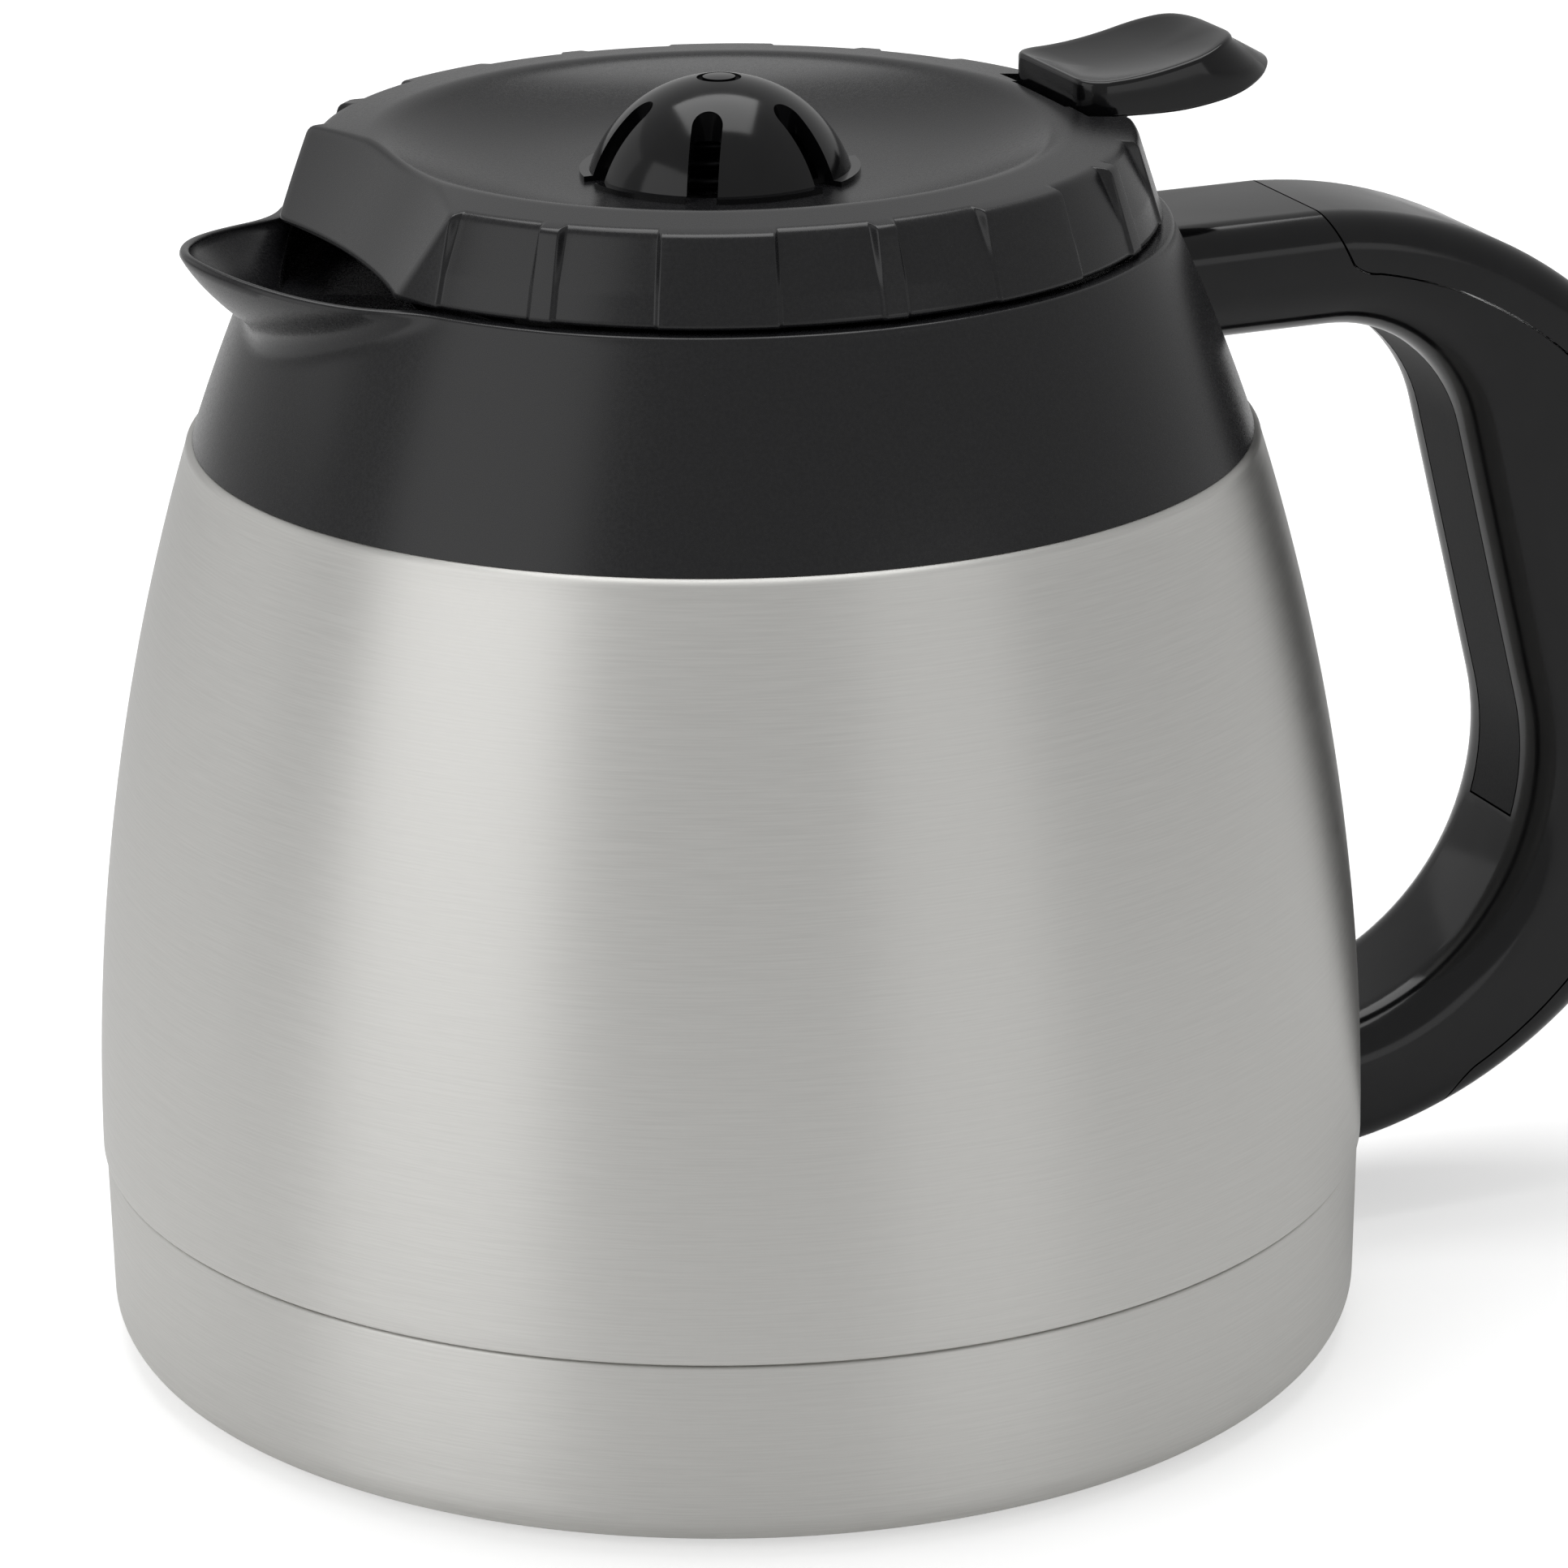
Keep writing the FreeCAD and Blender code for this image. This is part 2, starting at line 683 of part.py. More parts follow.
dish_body = new_body("flask_base")
turned(dish_body, "flask_dish", [
    ("0", "flask_floor"),
    (flask_corner_x, "flask_floor", "flask_corner"),
    seam_under,
    seam_over + ("steel_gauge - flask_corner",),
    (flask_corner_x, "flask_floor + steel_gauge"),
    ("0", "flask_floor + steel_gauge"),
])
piece(dish_body, "flask_base")

heel_body = new_body("flask_heel")
turned(heel_body, "flask_heel_ring", [
    seam_under + ("flask_corner",),
    (flask_radius, flask_wall_foot),
    (flask_radius + " - steel_gauge", flask_wall_foot, "steel_gauge - flask_corner"),
    seam_over,
])
piece(heel_body, "flask_heel")

flask_body = new_body("inner_flask")
turned(flask_body, "flask_wall", [
    (flask_radius, flask_wall_foot, flask_bow),
    (flask_top_radius, "flask_shoulder"),
    (flask_top_radius + " - steel_gauge", "flask_shoulder", "-(%s)" % flask_bow),
    (flask_radius + " - steel_gauge", flask_wall_foot),
])
piece(flask_body, "inner_flask")

neck_body = new_body("flask_neck")
turned(neck_body, "flask_shoulder_and_lip", [
    (flask_top_radius, "flask_shoulder"),
    ("neck_radius + steel_gauge", "flask_neck_foot"),
    ("neck_radius + steel_gauge", "neck_top - steel_gauge"),
    (neck_outer, "neck_top - steel_gauge"),
    (neck_outer, "neck_top"),
    ("neck_radius", "neck_top"),
    ("neck_radius", "flask_neck_foot - steel_gauge / 2"),
    (flask_top_radius + " - steel_gauge", "flask_shoulder"),
])
piece(neck_body, "flask_neck")

getter_foot = ("0", "0", "flask_floor - getter_height")
piece(rod("getter", getter_foot, "getter_radius", "getter_height"), "getter_cup")

# Collar: outer skirt, gutter floor, socket round the neck, screw bosses and spout

collar_foot_radius = "shell_top_radius - collar_step"
collar_foot = "shell_top + collar_gap"
socket_radius = "(%s + socket_gap)" % neck_outer
skirt_inner_top = "gutter_radius + collar_wall / 2"

collar_ring = new_body("collar_ring")
turned(collar_ring, "collar_section", [
    (collar_foot_radius, collar_foot, "collar_bow"),
    ("collar_top_radius", "collar_top"),
    ("collar_top_radius - collar_wall", "collar_top"),
    ("gutter_radius", "gutter_floor"),
    ("mouth_radius", "mouth_floor"),
    ("mouth_radius", "gutter_underside"),
    (socket_radius, "gutter_underside"),
    (socket_radius, "socket_foot"),
    (socket_radius + " + socket_wall", "socket_foot"),
    (socket_radius + " + socket_wall", "gutter_underside"),
    (skirt_inner_top, "gutter_underside"),
    (collar_foot_radius + " - collar_wall", collar_foot),
])


def bowl(name, shrink, depth):
    """Lower half of an ellipsoid hung from the collar's top edge; shrink is taken off the plan size."""
    half = doc.addObject("Part::Ellipsoid", name)
    half.Angle1 = -90
    half.Angle2 = 0
    bind(half, "Radius1", depth)
    bind(half, "Radius2", "spout_reach - (%s)" % shrink)
    bind(half, "Radius3", "spout_half_width - (%s)" % shrink)
    return place(half, ("-spout_x", "0", "collar_top"))


spout_low = ("-spout_x - 2 * spout_reach", "-2 * spout_half_width", "collar_top - spout_lip_height")
spout_high = ("0", "2 * spout_half_width", "collar_top + overcut")
spout_lip_slab = block("spout_lip_slab", spout_low, spout_high)
spout_lip = doc.addObject("Part::Common", "spout_lip_ring")
spout_lip.Base = bowl("spout_lip_bowl", "0", "spout_depth + spout_lip")
spout_lip.Tool = spout_lip_slab

gutter_space = doc.addObject("Part::Cone", "gutter_space")
bind(gutter_space, "Radius1", "gutter_radius")
bind(gutter_space, "Radius2", "collar_top_radius - collar_wall")
bind(gutter_space, "Height", "collar_top - gutter_floor")
place(gutter_space, ("0", "0", "gutter_floor"))

# Radius of the collar's skirt at the height of the two handle screws
skirt_fall = "(collar_top - upper_screw_z) / (collar_top - (%s))" % collar_foot
skirt_at_screw = "(collar_top_radius + (%s - collar_top_radius) * %s)" % (collar_foot_radius, skirt_fall)
upper_boss_x = "(%s - upper_boss_depth)" % skirt_at_screw
upper_boss_end = "(%s - upper_boss_sink)" % skirt_at_screw

upper_bosses = []
upper_bores = []
for side in (1, -1):
    across = "%d * upper_screw_y" % side
    boss = rod("upper_boss", (upper_boss_x, across, "upper_screw_z"),
               "upper_boss_radius", "%s - %s" % (upper_boss_end, upper_boss_x), ALONG_X)
    bore = rod("upper_bore", (upper_boss_x + " - overcut", across, "upper_screw_z"),
               "screw_radius + screw_fit", "upper_screw_end - %s + 2 * overcut" % upper_boss_x, ALONG_X)
    upper_bosses.append(boss)
    upper_bores.append(bore)

collar_solid = joined("collar_solid", [collar_ring, bowl("spout_bowl", "spout_lip", "spout_depth"), spout_lip]
                      + upper_bosses)
mouth_space = rod("mouth_space", ("0", "0", "gutter_underside - overcut"), "mouth_radius",
                  "collar_top - gutter_underside + overcut")
spout_space = bowl("spout_space", "spout_lip + spout_wall", "spout_depth - spout_floor")
collar = cut("collar_piece", collar_solid, [gutter_space, mouth_space, spout_space] + upper_bores)
piece(collar, "collar")

seal_ring = new_body("neck_seal")
turned(seal_ring, "neck_seal_ring", rectangle(
    "neck_radius + 2 * socket_gap", "neck_top", neck_outer + " - socket_gap", "neck_top + neck_seal_height"))
piece(seal_ring, "neck_seal")

# Handle outlines

arm_under = "(handle_top - arm_depth)"
lean_x = "(palm_x + palm_round * cos(grip_lean_angle))"
lean_z = "(palm_z + palm_round * sin(grip_lean_angle))"
corner_length = "(grip_corner * tan((90 - grip_lean_angle) / 2))"
corner_x = "(%s - tan(grip_lean_angle) * (%s - %s) - %s)" % (lean_x, arm_under, lean_z, corner_length)
corner_z = "(%s - grip_corner)" % arm_under


def cover_seam(gap):
    """The line that parts handle body and cover, from the top face to the lower outer edge."""
    radius = "cover_seam_round + %s" % gap
    top = polar("cover_seam_x", "cover_seam_z", radius, "cover_top_angle")
    low = polar("cover_seam_x", "cover_seam_z", radius, "-cover_low_angle")
    end_x = "cover_end_x + %s" % gap
    end_z = "handle_z - sqrt(handle_round ^ 2 - (%s - handle_x) ^ 2)" % end_x
    return [
        ("cover_start_x + %s" % gap, "handle_top"),
        ("cover_step_x + %s" % gap, "cover_step_z + %s / 2" % gap, "cover_bend"),
        top + ("-(%s)" % radius,),
        low + ("cover_bend * 2",),
        (end_x, end_z),
    ]


def grip_band(inner, outer, trim):
    """Strip that follows the inside of the grip, between two depths below its surface."""
    chain = []
    for depth, forward in ((inner, True), (outer, False)):
        corner_turn = "grip_corner + %s" % depth
        palm_turn = "palm_round + %s" % depth
        start = (corner_x, "%s + %s" % (corner_z, corner_turn))
        bend = polar(corner_x, corner_z, corner_turn, "grip_lean_angle")
        lean = polar("palm_x", "palm_z", palm_turn, "grip_lean_angle")
        finish = polar("palm_x", "palm_z", palm_turn, "-(grip_end_angle + %s)" % trim)
        if forward:
            chain += [start + ("-(%s)" % corner_turn,), bend, lean + ("-(%s)" % palm_turn,), finish]
        else:
            chain += [finish + (palm_turn,), lean, bend + (corner_turn,), start]
    return chain


palm_foot = "palm_z - palm_round"
handle_back_x = "handle_x - handle_heel"

handle_solid = new_body("handle_solid")
body_seam = cover_seam("0")
handle_outline = body_seam[:-1] + [body_seam[-1] + ("-handle_round",)] + [
    ("handle_x", "handle_foot"),
    (handle_back_x, "handle_foot"),
    (handle_back_x, palm_foot),
    ("palm_x", palm_foot, "palm_round"),
    (lean_x, lean_z),
    polar(corner_x, corner_z, "grip_corner", "grip_lean_angle") + ("grip_corner",),
    (corner_x, arm_under),
    ("handle_root_x", arm_under),
    ("handle_root_x", "handle_top"),
]
handle_pad = padded(handle_solid, "handle_pad",
                    outline(handle_solid, "handle_outline", "XZ_Plane", handle_outline), "handle_width")


def edge_middle(edge):
    return edge.valueAt((edge.FirstParameter + edge.LastParameter) / 2)


def on_side(edge):
    """Edges that lie in one of the handle's two flat sides."""
    half = size("handle_width") / 2
    return all(abs(abs(v.Y) - half) < 0.01 for v in edge.Vertexes) and abs(edge_middle(edge).y) > half - 0.01


def inside_grip(edge):
    """Side edges round the finger opening."""
    spot = edge_middle(edge)
    reach = math.hypot(spot.x - size("palm_x"), spot.z - size("palm_z"))
    on_palm = abs(reach - size("palm_round")) < 0.1
    on_lean = size("flask_floor") < spot.z < size(arm_under) + 0.1 and spot.x < size(lean_x) + 0.1
    above_palm = spot.z > size(palm_foot) + 1
    return on_side(edge) and above_palm and (on_palm or on_lean) and spot.x > size("handle_root_x") + 1


def top_or_outer(edge):
    """Side edges along the top face and the lower outer curve."""
    spot = edge_middle(edge)
    on_top = abs(spot.z - size("handle_top")) < 0.01
    from_middle = math.hypot(spot.x - size("handle_x"), spot.z - size("handle_z"))
    on_foot = abs(from_middle - size("handle_round")) < 0.1
    return on_side(edge) and (on_top or on_foot)


soft_inside = rounded(handle_solid, "handle_inside_round", handle_pad, "handle_inner_edge", inside_grip)
soft_outside = rounded(handle_solid, "handle_outside_round", soft_inside, "handle_outer_edge", top_or_outer)

# Seat of the handle: the jug's own outline turned with a small gap
seat = outline(handle_solid, "handle_seat_outline", "XZ_Plane", [
    ("0", "0"),
    (foot_radius + " + handle_fit", "0"),
    (foot_radius + " + handle_fit", "pad_drop + cup_corner"),
    (cup_radius + " + handle_fit", "seam_height"),
    ("shell_radius + handle_fit", "seam_height"),
    ("shell_radius + handle_fit", shell_foot, shell_bow),
    ("shell_top_radius + handle_fit", "shell_top - shell_edge"),
    (collar_foot_radius + " + handle_fit", collar_foot, "collar_bow"),
    ("collar_top_radius + handle_fit", "collar_top"),
    ("0", "collar_top"),
])
grooved(handle_solid, "handle_seat", seat)

channel = outline(handle_solid, "grip_channel_outline", "XZ_Plane",
                  grip_band("-overcut", "grip_depth + cover_gap", "grip_play_angle"))
pocketed(handle_solid, "grip_channel", channel, "grip_width + 2 * cover_gap")

tab_half_width = "bracket_half_width + bracket_fit"
tab_low = "bracket_high - bracket_tab"
bracket_back = "shell_radius - bracket_sink"
room_low = (bracket_back + " - overcut", "-(%s)" % tab_half_width, "bracket_low - bracket_fit")
room_high = ("shell_radius + bracket_plate + bracket_fit", tab_half_width, "bracket_high + bracket_fit")
bracket_room = block("bracket_room", room_low, room_high)
tab_room_low = (bracket_back + " - overcut", "-(%s)" % tab_half_width, tab_low + " - bracket_fit / 3")
tab_room_high = ("bracket_reach + bracket_fit", tab_half_width, "bracket_high + bracket_fit")
tab_room = block("tab_room", tab_room_low, tab_room_high)
lower_bore = rod("lower_bore", ("lower_screw_x", "0", "0"), "screw_radius + screw_fit",
                 "lower_screw_end + screw_tip_room")
lower_sink = rod("lower_sink", ("lower_screw_x", "0", "0"), "screw_head_radius + 2 * screw_fit",
                 "lower_screw_floor")
handle_bores = []
for side in (1, -1):
    handle_bores.append(rod("handle_bore", (upper_boss_x, "%d * upper_screw_y" % side, "upper_screw_z"),
                            "screw_radius + screw_fit",
                            "upper_screw_end - %s + screw_tip_room" % upper_boss_x, ALONG_X))
handle_body = cut("handle_body_piece", handle_solid,
                  [bracket_room, tab_room, lower_bore, lower_sink] + handle_bores)
piece(handle_body, "handle_body")

# Cover on the outside of the handle

cover_body = new_body("handle_cover")
cover_inside = cover_seam("cover_gap")
cover_outline = cover_inside[:-1] + [
    cover_inside[-1] + ("handle_round",),
    ("handle_x + handle_round", "handle_z", "handle_round"),
    ("handle_x + handle_round * sin(cover_flat_angle)", "handle_z + handle_round * cos(cover_flat_angle)"),
]
cover_pad = padded(cover_body, "cover_pad",
                   outline(cover_body, "cover_outline", "XZ_Plane", cover_outline), "handle_width")


def cover_outer(edge):
    spot = edge_middle(edge)
    reach = math.hypot(spot.x - size("handle_x"), spot.z - size("handle_z"))
    return on_side(edge) and abs(reach - size("handle_round")) < 0.1


rounded(cover_body, "cover_round", cover_pad, "handle_outer_edge", cover_outer)
piece(cover_body, "handle_cover")

grip_body = new_body("grip_pad")
padded(grip_body, "grip_strip",
       outline(grip_body, "grip_outline", "XZ_Plane", grip_band("0", "grip_depth", "0")), "grip_width")
piece(grip_body, "grip_pad")

# Handle fixings

upper_screws = []
for side in (1, -1):
    across = "%d * upper_screw_y" % side
    head_start = (upper_boss_x + " - screw_head", across, "upper_screw_z")
    shank = rod("upper_shank", head_start, "screw_radius",
                "upper_screw_end - %s + screw_head" % upper_boss_x, ALONG_X)
    head = rod("upper_head", head_start, "screw_head_radius", "screw_head", ALONG_X)
    upper_screws.append(joined("upper_screw", [shank, head]))
piece(group("upper_screw_pair", upper_screws), "upper_handle_screws")

bracket_arm = block("bracket_arm", (bracket_back, "-bracket_half_width", tab_low),
                    ("bracket_reach", "bracket_half_width", "bracket_high"))
bracket_foot = block("bracket_foot", (bracket_back, "-bracket_half_width", "bracket_low"),
                     ("shell_radius + bracket_plate", "bracket_half_width", "bracket_high"))
cup_cone = doc.addObject("Part::Cone", "cup_cone")
bind(cup_cone, "Radius1", foot_radius)
bind(cup_cone, "Radius2", cup_radius)
bind(cup_cone, "Height", "seam_height - pad_drop - cup_corner")
place(cup_cone, ("0", "0", "pad_drop + cup_corner"))
bracket_bore = rod("bracket_bore", ("lower_screw_x", "0", "0"), "screw_radius + screw_fit", "handle_top")
bracket = cut("bracket_piece", joined("bracket_blank", [bracket_arm, bracket_foot]), [cup_cone, bracket_bore])
piece(bracket, "handle_bracket")

lower_shank = rod("lower_shank", ("lower_screw_x", "0", "lower_screw_floor - screw_head"), "screw_radius",
                  "lower_screw_end - lower_screw_floor + screw_head")
lower_head = rod("lower_head", ("lower_screw_x", "0", "lower_screw_floor - screw_head"), "screw_head_radius",
                 "screw_head")
piece(joined("lower_screw", [lower_shank, lower_head]), "lower_handle_screw")

# Lid top: turned dish and skirt, sunk grip panels, scooped visor over the spout, notch for the lever

dish_drop = "(dish_depth - lid_crest_drop)"
dish_span = "(dish_radius - dish_flat_radius)"
dish_bow = "(%s ^ 2 + %s ^ 2) / (2 * %s)" % (dish_span, dish_drop, dish_drop)
under_drop = "(%s - dish_rim_thinning)" % dish_drop
under_bow = "(%s ^ 2 + %s ^ 2) / (2 * %s)" % (dish_span, under_drop, under_drop)

lid_solid = new_body("lid_solid")
turned(lid_solid, "lid_section", [
    ("0", "lid_foot"),
    ("lid_radius", "lid_foot"),
    ("lid_rim_radius", "lid_rim - lid_rim_edge"),
    ("lid_rim_radius - lid_rim_edge", "lid_rim"),
    ("dish_radius + lid_crest_width", "lid_crest", "lid_crest_round"),
    ("dish_radius", "lid_crest - lid_crest_drop", "-(%s)" % dish_bow),
    ("dish_flat_radius", "dish_floor"),
    ("0", "dish_floor"),
])
panel_grooves = []
for side in (1, -1):
    panel = outline(lid_solid, "panel_outline", "XZ_Plane", [
        ("lid_rim_radius - panel_depth", "lid_rim"),
        ("lid_rim_radius - panel_depth", "lid_rim + overcut"),
        ("lid_radius + 2 * overcut", "lid_rim + overcut"),
        ("lid_radius + panel_foot_clear", "lid_foot + panel_foot_rise"),
    ], turn=side * size("panel_offset_angle"))
    bind(panel, "AttachmentOffset.Rotation.Angle", "panel_offset_angle")
    panel_groove = grooved(lid_solid, "panel_groove", panel, "panel_angle")
    patterned(lid_solid, "panels", [panel_groove], "panel_count")

cavity = new_body("lid_cavity")
turned(cavity, "cavity_section", [
    ("0", "lid_foot - overcut"),
    ("lid_radius - lid_wall", "lid_foot - overcut"),
    ("lid_radius - lid_wall", "lid_foot"),
    ("lid_rim_radius - panel_depth - lid_skirt_wall", "lid_rim - lid_wall"),
    ("dish_radius + lid_crest_width", "lid_rim - lid_wall"),
    ("dish_radius", "dish_floor - lid_wall + %s" % under_drop, "-(%s)" % under_bow),
    ("dish_flat_radius", "dish_floor - lid_wall"),
    ("0", "dish_floor - lid_wall"),
])


def visor_roll(name, extra):
    """Large leaning cylinder that scoops the visor out of the skirt; extra enlarges it."""
    roll = rod(name, ("0", "0", "0"), "visor_round + %s" % extra, "2 * visor_round")
    roll.Placement = Placement(Vector(0, 0, 0), Rotation(Vector(0, 1, 0), size("visor_lean_angle")))
    bind(roll, "Placement.Rotation.Angle", "visor_lean_angle")
    out = "visor_foot_x + visor_round / cos(visor_lean_angle)"
    bind(roll, "Placement.Base.x", "-(%s) - visor_round * sin(visor_lean_angle)" % out)
    bind(roll, "Placement.Base.z", "lid_foot - visor_round * cos(visor_lean_angle)")
    return roll


boss_angles = (60, 180, 300)


def at_boss(angle, z):
    return "boss_circle * cos(%d)" % angle, "boss_circle * sin(%d)" % angle, z


islands = [visor_roll("visor_back", "lid_wall")]
screw_bores = []
for angle in boss_angles:
    islands.append(rod("lid_boss", at_boss(angle, "plug_top"), "boss_radius", "lid_rim - plug_top"))
    screw_bores.append(rod("lid_bore", at_boss(angle, "plug_top - overcut"), "lid_screw_radius + screw_fit",
                           "lid_screw_end - plug_top + overcut + bracket_fit"))
for low, high in (("ear_inner", "ear_outer"), ("-ear_outer", "-ear_inner")):
    islands.append(block("ear", ("lug_inner_x - ear_margin", low, "lug_foot - ear_margin"),
                         ("lug_outer_x + ear_front", high, "lid_rim")))
lid_hollow = cut("lid_hollow", cavity, islands)

notch = block("lever_notch", ("notch_x", "-notch_half_width", "notch_floor"),
              ("lid_radius + overcut", "notch_half_width", "lid_crest + overcut"))
lug_opening = block("lug_opening", ("lug_inner_x - lug_room", "-ear_inner", "lid_foot"),
                    ("lug_outer_x + lug_room", "ear_inner", "lid_crest"))
pin_bore = rod("pin_bore", ("pivot_x", "-ear_outer - overcut", "pivot_z"), "pin_radius + pin_fit",
               "2 * ear_outer + 2 * overcut", ALONG_Y)
dome_hole = rod("dome_hole", ("0", "0", "lid_foot"), "dome_spigot + dome_hole_fit", "dome_top - lid_foot")
visor_scoop = visor_roll("visor_scoop", "0")
lid_openings = [lid_hollow, visor_scoop, notch, lug_opening, pin_bore, dome_hole] + screw_bores
lid_top = cut("lid_piece", lid_solid, lid_openings)
piece(lid_top, "lid_top")

# Brew dome with open slots

dome_rise = "(dome_top - dome_foot)"
dome_bow = "((dome_radius ^ 2 + %s ^ 2) / (2 * %s))" % (dome_rise, dome_rise)
dome_z = "(dome_top - %s)" % dome_bow
ceiling_bow = "(%s - dome_wall)" % dome_bow
ceiling_radius = "sqrt(%s ^ 2 - (spring_seat - %s) ^ 2)" % (ceiling_bow, dome_z)
spring_seat_inner = "spring_radius - spring_wire"

dome_body = new_body("brew_dome")
turned(dome_body, "dome_section", [
    ("0", "dome_top", "-" + dome_bow),
    ("dome_radius", "dome_foot"),
    ("dome_flange", "dome_foot"),
    ("dome_flange", "dish_floor"),
    ("dome_spigot", "dish_floor"),
    ("dome_spigot", "dome_spigot_foot"),
    ("dome_spigot_bore", "dome_spigot_foot"),
    ("dome_spigot_bore", "dish_floor"),
    ("sqrt(%s ^ 2 - (dome_foot - %s) ^ 2)" % (ceiling_bow, dome_z), "dome_foot", ceiling_bow),
    (ceiling_radius, "spring_seat"),
    (spring_seat_inner, "spring_seat"),
    (spring_seat_inner, "spring_seat + dome_wall"),
    ("0", "spring_seat + dome_wall"),
])
dome_ring = outline(dome_body, "dome_ring_outline", "XZ_Plane", rectangle(
    "dome_ring_radius - dome_ring_width / 2", "dome_top - dome_ring_depth",
    "dome_ring_radius + dome_ring_width / 2", "dome_top + overcut"))
grooved(dome_body, "dome_ring", dome_ring)
slot_end = "dome_slot_inner + dome_slot_width / 2"
slot_round_sketch = new_sketch(dome_body, "slot_round_outline", "XY_Plane")
draw_circle(slot_round_sketch, slot_end, "0", "dome_slot_width / 2")
slot_round = pocketed(dome_body, "slot_round", slot_round_sketch)
slot_sketch = outline(dome_body, "slot_outline", "XY_Plane", rectangle(
    slot_end, "-dome_slot_width / 2", "dome_flange + overcut", "dome_slot_width / 2"))
slot = pocketed(dome_body, "slot", slot_sketch)
patterned(dome_body, "slots", [slot_round, slot], "dome_slots")
piece(dome_body, "brew_dome")

# Stopper with the valve seat, the spider that guides the tube and the way out to the spout

plug_inner = "(plug_radius - plug_wall)"
plug_body = new_body("plug_solid")
turned(plug_body, "plug_section", [
    ("plug_hole", "plug_foot"),
    ("plug_radius", "plug_foot"),
    ("plug_radius", "gasket_low"),
    ("plug_radius - gasket_groove", "gasket_low"),
    ("plug_radius - gasket_groove", "gasket_high"),
    ("plug_radius", "gasket_high"),
    ("plug_radius", "plug_top"),
    ("plug_flange_inner", "plug_top"),
    ("plug_flange_inner", "plug_top - plug_flange"),
    (plug_inner, "plug_top - plug_flange"),
    (plug_inner, "plug_foot + plug_wall"),
    ("plug_hole", "plug_foot + plug_wall"),
])
arm_start = "-%s - overlap" % plug_inner
arm_shape = rectangle(arm_start, "-spider_arm / 2", "-tube_radius - overlap", "spider_arm / 2")
arm_sketch = outline(plug_body, "spider_arm_outline", "XY_Plane", arm_shape, lift="spider_low")
spider_arm = padded(plug_body, "spider_arm", arm_sketch, "spider_height", midplane=False)
patterned(plug_body, "spider_arms", [spider_arm], "3")
ring_sketch = new_sketch(plug_body, "spider_ring_outline", "XY_Plane", lift="spider_low")
draw_circle(ring_sketch, "0", "0", "tube_radius + spider_wall")
padded(plug_body, "spider_ring", ring_sketch, "spider_height", midplane=False)

guide_bore = rod("guide_bore", ("0", "0", "spider_low - overcut"), "tube_radius + guide_fit",
                 "spider_height + 2 * overcut")
window = block("pour_window", ("-plug_radius - overcut", "-window_half_width", "window_low"),
               ("-%s + 2 * plug_wall" % plug_inner, "window_half_width", "window_high"))
lever_slot = block("lever_slot", ("lever_slot_inner", "-lever_slot_half_width", "window_low"),
                   ("plug_radius + overcut", "lever_slot_half_width", "plug_top + overcut"))
flange_bores = []
lid_screws = []
for angle in boss_angles:
    flange_bores.append(rod("flange_bore", at_boss(angle, "plug_top - plug_flange - overcut"),
                            "lid_screw_radius + screw_fit", "plug_flange + 2 * overcut"))
    head_low = "plug_top - plug_flange - screw_head"
    shank = rod("lid_shank", at_boss(angle, head_low), "lid_screw_radius", "lid_screw_end - (%s)" % head_low)
    head = rod("lid_head", at_boss(angle, head_low), "lid_screw_head_radius", "screw_head")
    lid_screws.append(joined("lid_screw", [shank, head]))
lid_plug = cut("plug_piece", plug_body, [guide_bore, window, lever_slot] + flange_bores)
piece(lid_plug, "lid_plug")
piece(group("lid_screw_set", lid_screws), "lid_screws")

gasket_body = new_body("lid_gasket")
turned(gasket_body, "gasket_ring", [
    ("plug_radius - gasket_groove + gasket_fit", "gasket_low + gasket_fit"),
    ("plug_radius", "gasket_low + gasket_fit"),
    ("gasket_radius", "gasket_low + 4 * gasket_fit"),
    ("gasket_radius", "gasket_high - 6 * gasket_fit"),
    ("plug_radius", "gasket_high - gasket_fit"),
    ("plug_radius - gasket_groove + gasket_fit", "gasket_high - gasket_fit"),
])
piece(gasket_body, "lid_gasket")

# Pour valve: drip tube with the valve disc, lifting flange and inlet ports

disc_top = "disc_low + disc_thickness"
flange_top = "(flange_low + flange_thickness)"
valve_body = new_body("pour_valve")
turned(valve_body, "valve_section", [
    ("tube_bore", "tube_foot"),
    ("tube_radius", "tube_foot"),
    ("tube_radius", "disc_low"),
    ("disc_radius", "disc_low"),
    ("disc_radius", disc_top),
    ("tube_radius", disc_top),
    ("tube_radius", "flange_low"),
    ("flange_radius", "flange_low"),
    ("flange_radius", flange_top),
    ("tube_radius", flange_top),
    ("tube_radius", "tube_top"),
    ("tube_bore", "tube_top"),
])
for plane in ("XZ_Plane", "YZ_Plane"):
    port_sketch = new_sketch(valve_body, "port_outline", plane)
    draw_circle(port_sketch, "0", "port_z", "port_radius")
    pocketed(valve_body, "ports", port_sketch)
piece(valve_body, "pour_valve")

valve_seal_body = new_body("valve_seal")
turned(valve_seal_body, "valve_seal_ring", rectangle(
    "tube_radius", "plug_foot + plug_wall + valve_seal_squeeze", "disc_radius", "disc_low"))
piece(valve_seal_body, "valve_seal")

# Coil spring between the flange and the dome

